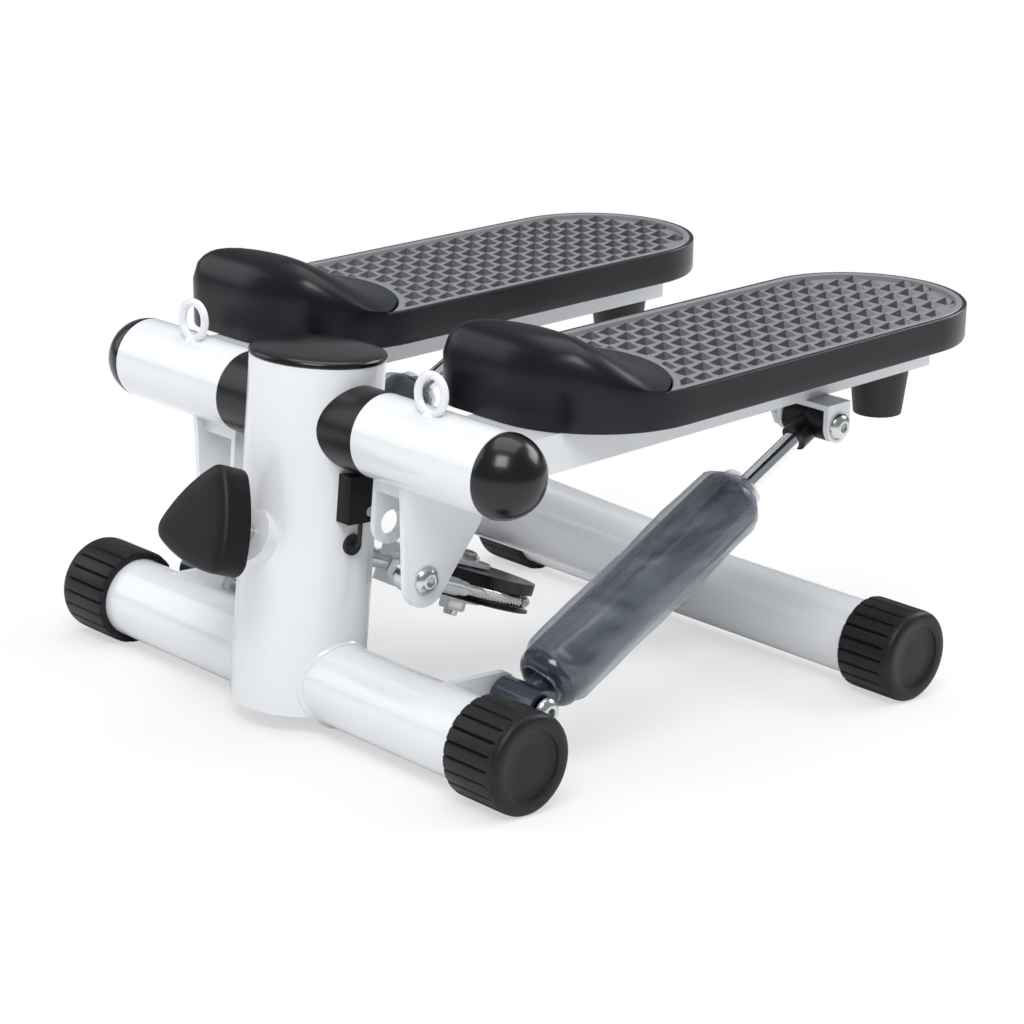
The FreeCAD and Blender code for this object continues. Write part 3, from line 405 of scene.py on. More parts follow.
def film_finish():
    """Thin, creased, see-through plastic that turns milky where it is seen edge-on."""
    material = bpy.data.materials.new("film")
    material.use_nodes = True
    tree = material.node_tree
    shader = tree.nodes["Principled BSDF"]
    shader.inputs["Base Color"].default_value = (0.30, 0.33, 0.38, 1)
    shader.inputs["Roughness"].default_value = 0.22
    shader.inputs["Coat Weight"].default_value = 0.6
    folds = add(tree, "ShaderNodeGroup", node_tree=wrinkle_group())
    edge = add(tree, "ShaderNodeLayerWeight", Blend=0.4)
    alpha = add(tree, "ShaderNodeMath", {0: edge.outputs["Facing"], 1: folds.outputs["Alpha"]},
                operation="MAXIMUM")
    raised = add(tree, "ShaderNodeBump", {"Height": folds.outputs["Height"]}, Strength=0.5, Distance=0.002)
    fill(tree, shader, Alpha=alpha.outputs[0], Normal=raised.outputs["Normal"])
    return material


FINISHES = {}


def finish(name):
    return FINISHES[name]


CAD_FINISH = {
    "white": ["front_bar", "rear_bar", "post", "spine_tube", "damper_lugs", "pulley_fork", "sleeve",
              "eyebolt", "pedal_arm", "lever_bracket", "damper_clevis"],
    "satin_black": ["saddle_collars", "rod_end", "sensor_block", "pulley"],
    "rubber": ["bumper", "wire_grommet", "sensor_wire"],
    "zinc": ["shaft_end_screws", "sensor_screw", "adjuster_screw", "ferrule", "pivot_shaft",
             "damper_gland", "cable_wrap"],
    "chrome": ["damper_rod"],
    "slate": ["damper_cylinder"],
    "nylon": ["sleeve_bushes"],
}


# material's name, colour, roughness and what else differs from the usual
PLAIN_FINISHES = {
    "white": ("white_gloss_paint", (0.83, 0.84, 0.86), 0.22,
              {"coat": 0.5, "scale": 260, "bump": 0.03, "variation": 0.03}),
    "gloss_black": ("black_gloss_plastic", (0.004, 0.004, 0.005), 0.26,
                    {"coat": 0.15, "scale": 900, "bump": 0.015, "shine": 0.40}),
    "satin_black": ("satin_black_plastic", (0.006, 0.006, 0.007), 0.30,
                    {"scale": 900, "bump": 0.03, "shine": 0.35}),
    "tray": ("navy_black_plastic", (0.005, 0.006, 0.009), 0.30,
             {"scale": 700, "bump": 0.03, "shine": 0.30}),
    "matte": ("matte_black_plastic", (0.010, 0.010, 0.012), 0.42,
              {"scale": 1100, "bump": 0.08, "shine": 0.28}),
    "knob": ("grained_black_plastic", (0.006, 0.006, 0.007), 0.45,
             {"scale": 1400, "bump": 0.12, "shine": 0.28}),
    "tread": ("grey_tread_plastic", (0.22, 0.225, 0.24), 0.38, {"scale": 800, "bump": 0.05}),
    # the pyramids' near-black finish is painted shade: the tread is one grey plastic, and this stands in
    # for the shaded sides of its pyramids
    "pyramids": ("tread_painted_shade", (0.035, 0.036, 0.040), 0.30, {"scale": 800, "bump": 0.05}),
    "rubber": ("black_rubber", (0.012, 0.012, 0.012), 0.55, {"bump": 0.05}),
    "zinc": ("zinc_plate", (0.62, 0.63, 0.63), 0.24,
             {"metallic": 1.0, "scale": 700, "bump": 0.05, "variation": 0.2}),
    "chrome": ("chrome", (0.80, 0.80, 0.81), 0.07, {"metallic": 1.0, "bump": 0.0}),
    "slate": ("slate_paint", (0.022, 0.032, 0.048), 0.22, {"coat": 0.6}),
    "nylon": ("nylon", (0.75, 0.75, 0.7), 0.4, {}),
}


class STEPPER_OT_finishes(bpy.types.Operator):
    """Make the finishes and give one to every CAD node that stays in view"""
    bl_idname = "stepper.finishes"
    bl_label = "Finishes"

    def execute(self, context):
        for key, (name, color, roughness, more) in PLAIN_FINISHES.items():
            FINISHES[key] = plain_finish(name, color, roughness, **more)
        FINISHES["film"] = film_finish()
        finish_of = {}
        for name, stems in CAD_FINISH.items():
            for stem in stems:
                for node in (stem, stem + "_right", stem + "_left"):
                    finish_of[node] = name
        for node, piece in frame["nodes"].items():
            piece.data.materials.clear()
            piece.data.materials.append(finish(finish_of.get(node, "gloss_black")))
        return {"FINISHED"}


# ---- pedals
LEFT, RIGHT = -1, 1


def half_width(p, way, along, inset=0.0):
    """How far a foot plate's outline, moved inwards by an inset, stands from the centre line."""
    corner = p.right if way == RIGHT else p.left
    short = p.toe + corner - along
    if short <= 0:
        return p.half - inset
    return p.half - corner + math.sqrt(max((corner - inset) ** 2 - short ** 2, 0.0))


def edge_distance(p, u, along):
    """How far a point of the plan lies inside the plate's outline."""
    way = RIGHT if u > 0 else LEFT
    for side, corner in ((RIGHT, p.right), (LEFT, p.left)):
        across = side * u - (p.half - corner)
        short = p.toe + corner - along
        if across > 0 and short > 0:
            return corner - math.hypot(across, short)
    return min(p.half - way * u, along - p.toe)


def arc_circle(p):
    """Radius and centre of the edge between hood and tread."""
    rise = p.arc_middle - p.arc_side
    radius = (p.half ** 2 + rise ** 2) / 2 / rise
    return radius, p.arc_middle - radius


def arc_reach(p, way, radius, centre, inset):
    """The angle at which the hood's edge meets the plate's outline."""
    low, high = 0.3, math.pi / 2
    for _ in range(40):
        angle = (low + high) / 2
        if radius * math.sin(angle) < half_width(p, way, centre + radius * math.cos(angle), inset):
            low = angle
        else:
            high = angle
    return low


def arc_points(p, count, growth=0.0, inset=0.0):
    """The edge between hood and tread, left to right, as (across, along) pairs."""
    radius, centre = arc_circle(p)
    radius += growth
    first = -arc_reach(p, LEFT, radius, centre, inset)
    last = arc_reach(p, RIGHT, radius, centre, inset)
    angles = [first + (last - first) * n / (count - 1) for n in range(count)]
    return [(radius * math.sin(a), centre + radius * math.cos(a)) for a in angles]


def bend(centre, radius, first, last, count):
    """Points of an arc between two angles."""
    angles = [first + (last - first) * n / count for n in range(count + 1)]
    return [(centre[0] + radius * math.cos(a), centre[1] + radius * math.sin(a)) for a in angles]


def spread(path, count):
    """Points spread evenly by length along an open path."""
    points = [Vector(point) for point in path]
    lengths = [0.0]
    for a, b in zip(points, points[1:]):
        lengths.append(lengths[-1] + (b - a).length)
    even = []
    k = 0
    for n in range(count):
        s = lengths[-1] * n / (count - 1)
        while k < len(points) - 2 and lengths[k + 1] < s:
            k += 1
        t = (s - lengths[k]) / max(lengths[k + 1] - lengths[k], 1e-9)
        even.append(points[k].lerp(points[k + 1], min(t, 1.0)))
    return even


def toe_outline(p, count):
    """The plate's outline in front of the hood's ends, left to right through the toe."""
    arc = arc_points(p, 2)
    right_centre = (p.half - p.right, p.toe + p.right)
    end = math.atan2(arc[-1][1] - right_centre[1], arc[-1][0] - right_centre[0])
    path = [arc[0]]
    path += bend((p.left - p.half, p.toe + p.left), p.left, math.pi, math.pi * 1.5, 24)
    path += bend(right_centre, p.right, -math.pi / 2, end, 60)
    return spread(path, count)


def heel_outline(p, inset, starts, count, straight=26):
    """The outline behind the hood, from its right end round the heel to its left end."""
    radius = p.half - inset
    turn = p.heel - p.half
    right, left = starts
    first = [right + (turn - right) * n / straight for n in range(straight)]
    last = [turn + (left - turn) * n / straight for n in range(1, straight + 1)]
    away = [(half_width(p, RIGHT, along, inset), along) for along in first]
    back = [(-half_width(p, LEFT, along, inset), along) for along in last]
    return away + bend((0, turn), radius, 0, math.pi, count) + back


def smooth_step(t):
    t = min(1.0, max(0.0, t))
    return t * t * (3 - 2 * t)


def hood_share(p, u, along):
    """How full the hood is at a point of the plan: 0 at its edge over the tread, 1 at its crown."""
    radius, centre = arc_circle(p)
    edge = centre + math.sqrt(max(radius ** 2 - u ** 2, 0.0))
    w = min(1.0, max(0.0, (edge - along) / p.crown_at))
    return 1 - (1 - w ** 1.6) ** 1.3


def hood_height(p, u, along):
    """Height of the hood over a point of the plan."""
    share = hood_share(p, u, along)
    wall = p.top + p.lip + (p.wall_rise - p.lip) * share
    crown = p.top + p.lip + (p.crown - p.top - p.lip) * share
    inside = min(1.0, max(0.0, edge_distance(p, u, along) / p.shoulder))
    return wall + (crown - wall) * math.sqrt(1 - (1 - inside) ** 2.2)


def moved_inwards(points, amount, closed):
    """Points of an outline that runs with its inside on the left, moved in by an amount."""
    moved = []
    count = len(points)
    for n, (u, along) in enumerate(points):
        before = points[n - 1] if closed or n else points[0]
        after = points[(n + 1) % count] if closed or n < count - 1 else points[-1]
        way = Vector((after[0] - before[0], after[1] - before[1])).normalized()
        moved.append((u - way.y * amount, along + way.x * amount))
    return moved


def strip(bm, first, second):
    """Faces between two rows of vertices, which may share some of them."""
    for n in range(len(first) - 1):
        corners = [first[n], first[n + 1], second[n + 1], second[n]]
        corners = [v for k, v in enumerate(corners) if v not in corners[:k]]
        if len(corners) > 2:
            bm.faces.new(corners)


def pedal_body(p, side):
    """Black tray and toe hood as one closed skin."""
    bm = bmesh.new()
    toes, steps = 97, 34

    def spot(point, height):
        return on_pedal(p, side * p.middle + point[0], point[1], height)

    toe = toe_outline(p, toes)
    arc = arc_points(p, toes)
    heels = heel_outline(p, 0.0, (toe[-1][1], toe[0][1]), 48)[1:-1]
    outline = [tuple(q) for q in toe] + heels
    drop, foot = 0.0011, p.low + 0.0016
    wall = [p.top - drop + (p.wall_rise + drop) * (hood_share(p, *q) if n < toes else 0.0)
            for n, q in enumerate(outline)]
    levels = [(0.006, p.low), (0.0014, p.low), (0.0004, p.low + 0.0005), (0.0, foot)]
    rings = [[spot(q, height) for q in moved_inwards(outline, amount, True)] for amount, height in levels]
    for fraction in (0.3, 0.65, 1.0):
        rings.append([spot(q, foot + (wall[n] - foot) * fraction) for n, q in enumerate(outline)])
    top = loft(bm, rings, cap_first=True)[-1]

    # the tray's rim behind the hood
    previous = top[toes - 1:] + [top[0]]
    edge = outline[toes - 1:] + [outline[0]]
    for amount, height in ((0.0005, p.top - 0.0005), (0.0013, p.top - 0.0003), (0.0024, p.top - 0.0006),
                           (0.0024, p.seat)):
        row = [bm.verts.new(spot(q, height)) for q in moved_inwards(edge, amount, False)]
        strip(bm, previous, row)
        previous = row

    # the hood, from its wall to the edge over the tread
    previous = top[:toes]
    for step in range(1, steps + 1):
        t = 1 - (1 - step / steps) ** 1.35
        row = [top[0]]
        for n in range(1, toes - 1):
            u, along = Vector(toe[n]).lerp(Vector(arc[n]), t)
            row.append(bm.verts.new(spot((u, along), hood_height(p, u, along))))
        row.append(top[toes - 1])
        strip(bm, previous, row)
        previous = row
    lip = [top[0]] + [bm.verts.new(spot(q, p.seat)) for q in arc[1:-1]] + [top[toes - 1]]
    strip(bm, previous, lip)
    return bm


def tread_mesh(p, side):
    """Grey tread: a raised border round a field of square-set pyramids, whose darker finish is painted
    shade.
    """
    bm = bmesh.new()
    field = p.top - p.stud
    gap = 0.0018

    def spot(point, height):
        return on_pedal(p, side * p.middle + point[0], point[1], height)

    levels = [(0.0006, p.seat), (0.0006, p.top - 0.0007), (0.0010, p.top - 0.0003),
              (p.rim - 0.0006, p.top - 0.0003), (p.rim, p.top - 0.0007), (p.rim + 0.0006, field)]
    rings = []
    for inset, height in levels:
        arc = arc_points(p, 49, 0.0004 + inset, inset + gap)
        heels = heel_outline(p, inset + gap, (arc[-1][1], arc[0][1]), 48)
        rings.append([spot(q, height) for q in arc[1:] + heels[1:]])
    loft(bm, rings, cap_last=True)

    radius, centre = arc_circle(p)
    margin = p.rim + 0.0006 + p.base / 2
    columns = 8
    rows = int((p.heel - p.arc_side) / p.pitch) + 1
    half = p.base / 2
    corners = ((-1, -1), (1, -1), (1, 1), (-1, 1))
    stud = ((half, field - 0.0002), (half * 0.1, p.top - 0.00005))
    for column in range(columns):
        across = (column - (columns - 1) / 2) * p.pitch
        way = RIGHT if across > 0 else LEFT
        for row in range(rows):
            along = p.heel - margin - 0.0015 - row * p.pitch
            beyond = along - (p.heel - p.half)
            if beyond > 0 and math.hypot(across, beyond) > p.half - margin:
                continue
            if math.hypot(across, along - centre) < radius + p.base * 0.62:
                continue
            if abs(across) > half_width(p, way, along - half, margin):
                continue
            known = len(bm.faces)
            loft(bm, [[spot((across + a * size, along + b * size), height) for a, b in corners]
                      for size, height in stud], cap_last=True)
            # the pyramids take the second, darker finish: painted shade for their shaded sides
            bm.faces.ensure_lookup_table()
            for face in bm.faces[known:]:
                face.material_index = 1
    return bm


class STEPPER_OT_pedals(bpy.types.Operator):
    """Build both foot plates: the hooded black trays and the grey treads"""
    bl_idname = "stepper.pedals"
    bl_label = "Foot plates"

    def execute(self, context):
        p = context.scene.stepper.pedal
        for name, side in SIDES.items():
            new_object(f"foot_plate_{name}", pedal_body(p, side), f"pedal_{name}_unit", finish("tray"),
                       nodes=[f"pedal_tray_{name}"])
            # each tread's second finish, for its pyramids, is painted shade
            new_object(f"foot_tread_{name}", tread_mesh(p, side), f"pedal_{name}_unit", finish("tread"),
                       smooth=False, nodes=[f"tread_{name}"],
                       second=finish("pyramids"))
        return {"FINISHED"}


# ---- foot caps
def foot_mesh(f, node, side):
    """Ribbed cap: grooves run along it and stop short of its rounded, recessed end."""
    low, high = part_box(node)
    start = Vector((low.x if side > 0 else high.x, (low.y + high.y) / 2, f.radius - 0.0003))
    way = EX * side
    per_rib, steepness = 8, 7.0
    count = f.ribs * per_rib

    def ring(radius, along, groove):
        points = []
        for n in range(count):
            angle = 2 * math.pi * (n + per_rib / 2) / count
            place = (n % per_rib) / per_rib
            cut = max(0.0, 1 - min(place, 1 - place) * steepness)
            here = radius - groove * smooth_step(cut)
            points.append(start + way * along + (EY * math.sin(angle) * side - EZ * math.cos(angle)) * here)
        return points

    bm = bmesh.new()
    r, deep, far = f.radius, f.groove, f.long
    levels = [(f.bore, 0.003, 0), (f.bore, 0.0004, 0), (f.bore + 0.0005, 0.0, 0),
              (r - 0.0014, 0.0, deep * 0.3), (r - 0.0003, 0.0008, deep), (r, 0.002, deep),
              (r, 0.016, deep), (r, far - 0.0070, deep), (r, far - 0.0054, deep * 0.7),
              (r - 0.0001, far - 0.0040, 0.0002), (r - 0.0003, far - 0.0026, 0),
              (r - 0.0009, far - 0.0014, 0), (r - 0.0019, far - 0.0005, 0), (r - 0.0033, far, 0),
              (f.ring + 0.0009, far, 0), (f.ring + 0.0002, far - 0.0004, 0), (f.ring, far - 0.0012, 0),
              (f.ring - 0.0006, far - 0.0016, 0), (f.ring * 0.5, far - 0.0014, 0),
              (0.0008, far - 0.0012, 0)]
    loft(bm, [ring(*level) for level in levels], cap_last=True)
    for vert in bm.verts:
        vert.co.z = max(vert.co.z, 0.0)
    return bm


class STEPPER_OT_feet(bpy.types.Operator):
    """Build the four ribbed foot caps"""
    bl_idname = "stepper.feet"
    bl_label = "Foot caps"

    def execute(self, context):
        f = context.scene.stepper.foot
        for end in ("front", "rear"):
            for name, side in SIDES.items():
                node = f"foot_cap_{end}_{name}"
                new_object(f"foot_{end}_{name}", foot_mesh(f, node, side), "frame", finish("matte"),
                           nodes=[node])
        return {"FINISHED"}


# ---- knob and caps
def knob_outline(k, inset):
    """The three bowed sides and round lobes, as pairs in the knob's own plane."""
    away = k.bow - k.flat
    inner = k.bow - k.corner
    tip = (-away + math.sqrt(max(away ** 2 - 4 * (away ** 2 - inner ** 2), 0))) / 2
    lobes = [Vector((math.cos(a), math.sin(a)))
             for a in (k.turn + math.pi, k.turn - math.pi / 3, k.turn + math.pi / 3)]
    points = []
    for n, lobe in enumerate(lobes):
        before = lobes[(n + 1) % 3] * away
        after = lobes[(n - 1) % 3] * away
        corner = lobe * tip
        first = (corner - before).normalized()
        last = (corner - after).normalized()
        turn = first.angle_signed(last)
        for step in range(9):
            way = Matrix.Rotation(-turn * step / 8, 2) @ first
            points.append(corner + way * (k.corner - inset))
        centre = lobes[(n - 1) % 3] * away
        following = lobes[(n + 1) % 3] * tip
        start = (corner - centre).normalized()
        end = (following - centre).normalized()
        sweep = start.angle_signed(end)
        for step in range(1, 16):
            way = Matrix.Rotation(-sweep * step / 16, 2) @ start
            points.append(centre + way * (k.bow - inset))
    return points


class STEPPER_OT_knob(bpy.types.Operator):
    """Build the three-lobed adjuster knob"""
    bl_idname = "stepper.knob"
    bl_label = "Knob"

    def execute(self, context):
        k = context.scene.stepper.knob
        outwards = -axis_of("knob_turn")
        upwards = outwards.cross(EX).normalized()
        if upwards.z < 0:
            upwards = -upwards
        back = place_of("knob_turn") + outwards * k.reach
        bm = bmesh.new()
        d = k.deep
        levels = [(0.012, 0.0), (0.0016, 0.0), (0.0, 0.0014), (0.0, d * 0.5), (0.0, d - 0.0042),
                  (0.0003, d - 0.0028), (0.0011, d - 0.0016), (0.0024, d - 0.0009), (0.006, d - 0.0004),
                  (0.0085, d - 0.0002)]
        rings = []
        for inset, along in levels:
            shape = knob_outline(k, min(inset, k.corner - 0.0004))
            rings.append([back + outwards * along + EX * q.x + upwards * q.y for q in shape])
        inner = knob_outline(k, k.corner - 0.0003)
        for scale, along in ((0.6, d - 0.00005), (0.2, d)):
            rings.append([back + outwards * along + (EX * q.x + upwards * q.y) * scale for q in inner])
        loft(bm, rings, cap_first=True, cap_last=True)
        new_object("knob_body", bm, "knob_unit", finish("knob"), nodes=["knob"])
        return {"FINISHED"}


class STEPPER_OT_caps(bpy.types.Operator):
    """Build the post's cap and the ball caps at the ends of the pivot"""
    bl_idname = "stepper.caps"
    bl_label = "Caps"

    def execute(self, context):
        low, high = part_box("post_cap")
        across = (high.x - low.x) / 2
        seat = Vector(((low.x + high.x) / 2, (low.y + high.y) / 2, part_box("post")[1].z))
        crown = high.z - seat.z
        lip, lip_top = 0.003, 0.0037
        bm = bmesh.new()
        profile = [(0, -0.001), (across - 0.004, -0.001), (across - 0.004, 0), (across - 0.0006, 0),
                   (across, 0.0006), (across, 0.0018), (across - 0.0006, 0.0028), (across - 0.0022, 0.0036)]
        for t in (0.85, 0.7, 0.5, 0.3, 0.12):
            profile.append(((across - lip) * t, crown - (crown - lip_top) * t * t))
        profile.append((0, crown))
        turned(bm, seat, EZ, profile, 96)
        new_object("post_lid", bm, "frame", finish("gloss_black"), nodes=["post_cap"])
        for name, side in SIDES.items():
            low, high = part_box(f"ball_cap_{name}")
            radius = (high.z - low.z) / 2
            centre = Vector((low.x if side > 0 else high.x, (low.y + high.y) / 2, (low.z + high.z) / 2))
            way = EX * side
            bm = bmesh.new()
            bow = [(radius * math.cos(math.radians(a)), radius * math.sin(math.radians(a)))
                   for a in range(5, 91, 5)]
            turned(bm, centre, way, [(radius - 0.003, 0.0), (radius - 0.0003, 0.0)] + bow, 80)
            new_object(f"ball_{name}", bm, f"pedal_{name}_unit", finish("gloss_black"),
                       nodes=[f"ball_cap_{name}"])
        return {"FINISHED"}


# ---- dampers
class STEPPER_OT_film(bpy.types.Operator):
    """Wrap each damper's cylinder in creased plastic film"""
    bl_idname = "stepper.film"
    bl_label = "Damper film"

    def execute(self, context):
        d = context.scene.stepper.damper
        for name, side in SIDES.items():
            way = -axis_of(f"damper_slide_{name}")
            foot = place_of(f"rod_pivot_{name}") - way * d.between
            first, second = square_to(way)
            bm = bmesh.new()
            rings = []
            stations, count = 64, 72
            pinch, taper, hang, lean = 0.42, 0.085, 0.0013, 0.5
            round_scale, long_scale, crease_scale, crease = 1.7, 2.6, 3.1, 0.35
            for n in range(stations):
                t = n / (stations - 1)
                body = d.film * (1 - pinch * (1 - smooth_step(min(t, 1 - t) / taper)))
                ring = []
                for m in range(count):
                    angle = 2 * math.pi * m / count
                    out = first * math.cos(angle) + second * math.sin(angle)
                    seed = Vector((math.cos(angle) * round_scale, math.sin(angle) * round_scale,
                                   t * long_scale + side * 9))
                    fold = noise.noise(seed) + noise.noise(seed * crease_scale) * crease
                    bag = max(0.0, -math.sin(angle - lean)) * hang
                    ring.append(foot + way * (d.start + d.run * t) + out * (body + d.loose * fold + bag))
                rings.append(ring)
            loft(bm, rings)
            new_object(f"film_{name}", bm, f"damper_{name}_unit", finish("film"))
        return {"FINISHED"}


# ---- cable
class STEPPER_OT_cable(bpy.types.Operator):
    """Build the twisted strands of both straight stretches of cable"""
    bl_idname = "stepper.cable"
    bl_label = "Cable"

    def execute(self, context):
        c = context.scene.stepper.cable
        core, strand_radius = c.radius * 0.5, c.radius * 0.38
        down = axis_of("knob_turn")
        groove = place_of("pulley_spin") - axis_of("pulley_spin") * c.drop
        for name, side in SIDES.items():
            eye = place_of(f"cable_pivot_{name}")
            touch = groove + (EX * side * math.cos(c.leave) + down * math.sin(c.leave)) * c.groove
            way = (touch - eye).normalized()
            start = eye + way * c.start
            run = (touch - start).length
            first, second = square_to(way)
            bm = bmesh.new()
            tube(bm, [start, start + way * run], core, 10)
            for strand in range(c.strands):
                path = []
                for n in range(91):
                    along = run * n / 90
                    angle = 2 * math.pi * (strand / c.strands + along / c.lay)
                    out = first * math.cos(angle) + second * math.sin(angle)
                    path.append(start + way * along + out * (c.radius - strand_radius))
                tube(bm, path, strand_radius, 8)
            new_object(f"strands_{name}", bm, f"cable_{name}_unit", finish("zinc"),
                       nodes=[f"cable_{name}"])
        return {"FINISHED"}


# ---- fasteners
def six_sided(centre, way, flat, count):
    """Points of a hexagon, a round number of them, in the order of a circle's points."""
    first, second = square_to(way)
    points = []
    for n in range(count):
        angle = 2 * math.pi * n / count
        radius = flat / 2 / math.cos((angle + math.pi / 6) % (math.pi / 3) - math.pi / 6)
        points.append(centre + (first * math.cos(angle) + second * math.sin(angle)) * radius)
    return points


def button_head(bm, b, seat, way):
    """A domed head with a hexagon socket, standing on a point."""
    count, r, tall = 48, b.button, b.tall
    profile = [(0.002, 0), (r - 0.0003, 0), (r, 0.0003), (r, 0.0010), (r - 0.0007, 0.0021),
               (r - 0.0018, tall - 0.0009), (r - 0.0031, tall - 0.0002), (r - 0.0040, tall)]
    rings = [circle(seat + way * along, way, radius, count) for radius, along in profile]
    for along in (tall - 0.0001, tall - b.deep):
        rings.append(six_sided(seat + way * along, way, b.socket, count))
    loft(bm, rings, cap_first=True, cap_last=True)


def shank_and_nut(bm, b, seat, way, grip):
    """A bolt's shank against a direction, and the nut on it."""
    long = grip + b.nut + b.beyond
    turned(bm, seat, -way, [(0, 0), (b.shank, 0), (b.shank, long - 0.0005),
                            (b.shank - 0.0005, long), (0, long)], 32)
    hex_piece(bm, seat - way * grip, -way, b.flat, b.nut)


class STEPPER_OT_bolts(bpy.types.Operator):
    """Build the button-head bolts, the pulley's domed bolt and their nuts"""
    bl_idname = "stepper.bolts"
    bl_label = "Bolts"

    def execute(self, context):
        b = context.scene.stepper.bolt
        lower = bmesh.new()
        for name, side in SIDES.items():
            way = EX * side
            for piece, turn in (("lever_bolt", "cable_pivot"), ("clevis_bolt", "rod_pivot")):
                low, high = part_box(f"{piece}_{name}")
                centre = place_of(f"{turn}_{name}")
                seat = Vector(((high.x if side > 0 else low.x) - side * b.tall, centre.y, centre.z))
                grip = high.x - low.x - b.tall - b.nut - b.beyond
                bm = bmesh.new()
                button_head(bm, b, seat, way)
                shank_and_nut(bm, b, seat, way, grip)
                new_object(f"{piece}_fastener_{name}", bm, f"pedal_{name}_unit", finish("zinc"),
                           nodes=[f"{piece}_{name}"])
            low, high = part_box("lower_pivot_bolts")
            seat = Vector(((high.x if side > 0 else low.x) - side * b.tall,
                           (low.y + high.y) / 2, (low.z + high.z) / 2))
            grip = 2 * (seat.x - place_of(f"rod_pivot_{name}").x) * side + b.lug
            button_head(lower, b, seat, way)
            shank_and_nut(lower, b, seat, way, grip)
        new_object("lower_fasteners", lower, "frame", finish("zinc"), nodes=["lower_pivot_bolts"])
        up = axis_of("pulley_spin")
        seat = place_of("pulley_spin") + up * b.fork
        bm = bmesh.new()
        hex_piece(bm, seat, up, b.flat, b.head * 0.55)
        dome = [(0.0060, 0), (0.0057, 0.18), (0.0047, 0.36), (0.0028, 0.46), (0, 0.5)]
        turned(bm, seat + up * b.head * 0.5, up, [(radius, b.head * share) for radius, share in dome], 32)
        shank_and_nut(bm, b, seat, up, 2 * b.fork)
        new_object("pulley_fastener", bm, "carriage", finish("zinc"), nodes=["pulley_bolt"])
        return {"FINISHED"}


# ---- welds
class STEPPER_OT_welds(bpy.types.Operator):
    """Lay painted weld beads where the tubes meet"""
    bl_idname = "stepper.welds"
    bl_label = "Welds"

    def execute(self, context):
        bar = middle_of("front_bar")
        low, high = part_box("post")
        post_radius = (high.x - low.x) / 2
        bar_radius = (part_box("front_bar")[1].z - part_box("front_bar")[0].z) / 2
        bead, steps, ripples, ripple = 0.0016, 96, 31, 0.0002
        bm = bmesh.new()
        for side in SIDES.values():
            path = []
            for n in range(steps):
                around = 2 * math.pi * n / steps
                y = bar_radius * math.cos(around)
                z = bar_radius * math.sin(around)
                x = math.sqrt(post_radius ** 2 - y ** 2) + ripple * math.sin(around * ripples)
                path.append(Vector((side * x, bar.y + y, bar.z + z)))
            tube(bm, path, bead, 8, closed=True)
        new_object("post_welds", bm, "frame", finish("white"))
        for name, side in SIDES.items():
            ring = middle_of(f"eyebolt_{name}")
            sleeve = middle_of(f"sleeve_{name}")
            radius = (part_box(f"sleeve_{name}")[1].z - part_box(f"sleeve_{name}")[0].z) / 2
            drop = ring.y - sleeve.y
            top = sleeve.z + math.sqrt(radius ** 2 - drop ** 2)
            bm = bmesh.new()
            way = Vector((0, drop, top - sleeve.z)).normalized()
            sunk = 0.0012
            fillet = [(0, 0), (0.0052, 0), (0.0046, sunk), (0.0034, 0.0022), (0.0022, 0.0030), (0, 0.0032)]
            turned(bm, Vector((ring.x, ring.y, top)) - way * sunk, way, fillet, 28)
            new_object(f"ring_weld_{name}", bm, f"pedal_{name}_unit", finish("white"))
        return {"FINISHED"}


# ---- stage
# name, place, height looked at, size and power
LIGHTS = [
    ("key", (1.1, -1.5, 2.2), 0.1, (1.3, 1.3), 44),
    ("fill", (-1.9, -1.2, 1.2), 0.1, (1.6, 1.6), 12),
    ("rim", (0.6, 2.2, 1.6), 0.15, (1.8, 1.0), 30),
    ("top", (-0.2, 0.3, 2.4), 0.1, (2.0, 2.0), 26),
]


def area_light(name, place, height, size, power):
    """A rectangular lamp at a place, turned to a height over the middle of the floor."""
    data = bpy.data.lights.new(name, "AREA")
    data.shape = "RECTANGLE"
    data.size, data.size_y = size
    data.energy = power
    lamp = bpy.data.objects.new(name, data)
    bpy.context.scene.collection.objects.link(lamp)
    lamp.location = place
    lamp.rotation_euler = (EZ * height - Vector(place)).to_track_quat("-Z", "Y").to_euler()
    return lamp


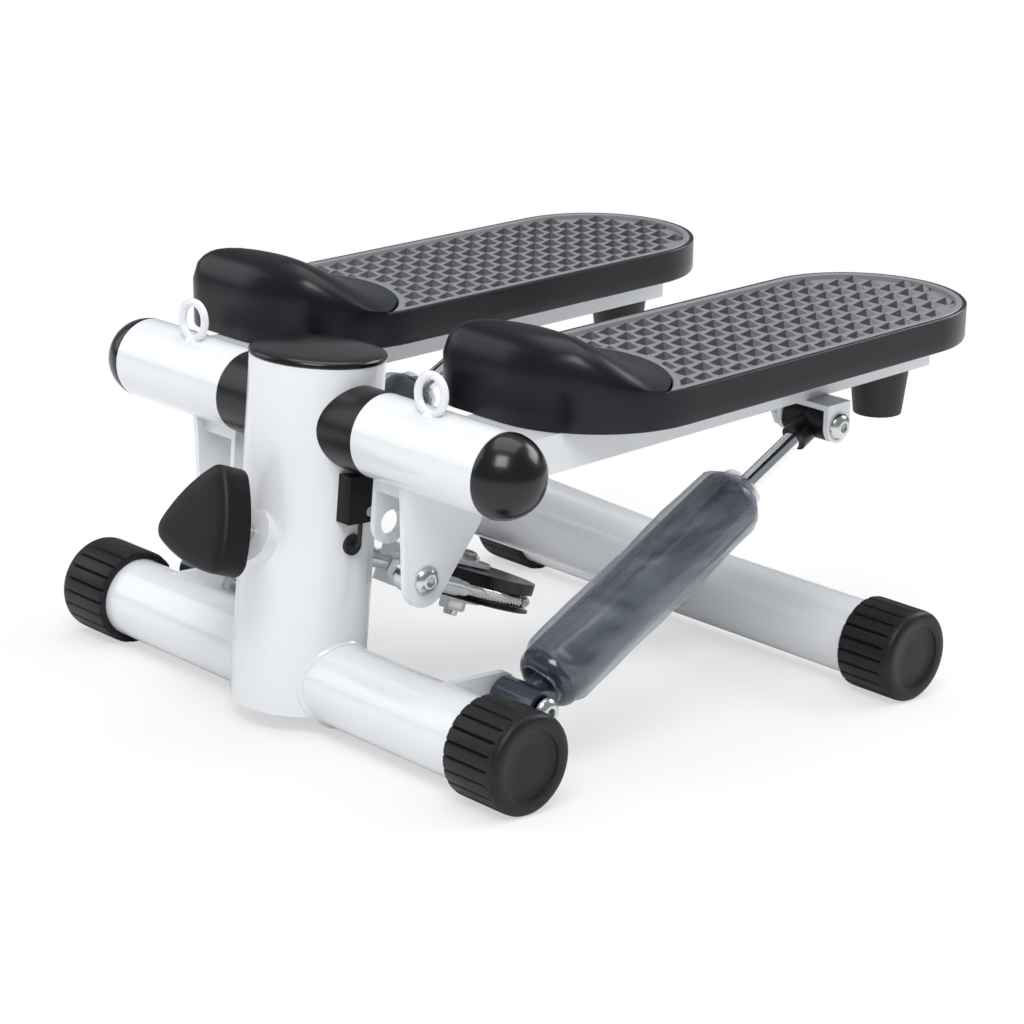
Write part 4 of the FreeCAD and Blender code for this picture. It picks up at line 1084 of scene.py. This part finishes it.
class STEPPER_OT_stage(bpy.types.Operator):
    """Set up the camera, the floor, the lights and the white surroundings"""
    bl_idname = "stepper.stage"
    bl_label = "Stage"

    def execute(self, context):
        s = context.scene.stepper.stage
        scene = context.scene
        a, e = s.azimuth, s.elevation
        back = Vector((math.sin(a) * math.cos(e), -math.cos(a) * math.cos(e), math.sin(e)))
        right = Vector((math.cos(a), math.sin(a), 0))
        up = back.cross(right)
        c, n = math.cos(s.roll), math.sin(s.roll)
        axes = Matrix((right * c - up * n, right * n + up * c, back)).transposed()
        data = bpy.data.cameras.new("view")
        data.lens = s.lens
        data.clip_start = 0.05
        camera = bpy.data.objects.new("view", data)
        scene.collection.objects.link(camera)
        camera.matrix_world = Matrix.Translation(Vector(s.target) + back * s.distance) @ axes.to_4x4()
        scene.camera = camera

        floor_bm = bmesh.new()
        bmesh.ops.create_grid(floor_bm, x_segments=1, y_segments=1, size=30)
        mesh = bpy.data.meshes.new("floor")
        floor_bm.to_mesh(mesh)
        floor_bm.free()
        floor = bpy.data.objects.new("floor", mesh)
        scene.collection.objects.link(floor)
        mesh.materials.append(floor_finish())
        floor.location.z = -0.0002
        [area_light(*lamp) for lamp in LIGHTS]

        world = bpy.data.worlds.new("studio")
        scene.world = world
        world.use_nodes = True
        tree = world.node_tree
        dim = tree.nodes["Background"]
        dim.inputs["Color"].default_value = (0.9, 0.95, 1.0, 1)
        dim.inputs["Strength"].default_value = 0.30
        white = add(tree, "ShaderNodeBackground", Strength=1.0, Color=(1, 1, 1, 1))
        rays = add(tree, "ShaderNodeLightPath").outputs["Is Camera Ray"]
        mix = add(tree, "ShaderNodeMixShader", {0: rays, 1: dim.outputs[0], 2: white.outputs[0]})
        fill(tree, tree.nodes["World Output"], Surface=mix.outputs[0])
        scene.view_settings.view_transform = "Standard"
        return {"FINISHED"}


class STEPPER_PT_panel(bpy.types.Panel):
    """Buttons that build the stepper's pieces"""
    bl_idname = "STEPPER_PT_panel"
    bl_label = "Stepper"
    bl_space_type = "VIEW_3D"
    bl_region_type = "UI"
    bl_category = "Stepper"

    def draw(self, context):
        for operator in OPERATORS:
            self.layout.operator(operator.bl_idname)
        for group in ("pedal", "foot", "knob", "damper", "cable", "bolt", "stage"):
            settings = getattr(context.scene.stepper, group)
            box = self.layout.box()
            box.label(text=group.title())
            for name in settings.bl_rna.properties.keys():
                if name not in ("rna_type", "name"):
                    box.prop(settings, name)


OPERATORS = [STEPPER_OT_finishes, STEPPER_OT_pedals, STEPPER_OT_feet, STEPPER_OT_knob, STEPPER_OT_caps,
             STEPPER_OT_film, STEPPER_OT_cable, STEPPER_OT_bolts, STEPPER_OT_welds, STEPPER_OT_stage]
CLASSES = [PedalSettings, FootSettings, KnobSettings, DamperSettings, CableSettings, BoltSettings,
           StageSettings, StepperSettings, *OPERATORS, STEPPER_PT_panel]


def register():
    for cls in CLASSES:
        bpy.utils.register_class(cls)
    bpy.types.Scene.stepper = PointerProperty(type=StepperSettings)


def unregister():
    del bpy.types.Scene.stepper
    for cls in reversed(CLASSES):
        bpy.utils.unregister_class(cls)


def main():
    """Build everything in order."""
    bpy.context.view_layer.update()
    register()
    for operator in OPERATORS:
        group, name = operator.bl_idname.split(".")
        if getattr(getattr(bpy.ops, group), name)() != {"FINISHED"}:
            raise RuntimeError(f"{operator.bl_label} was not finished")


if __name__ == "__main__":
    main()
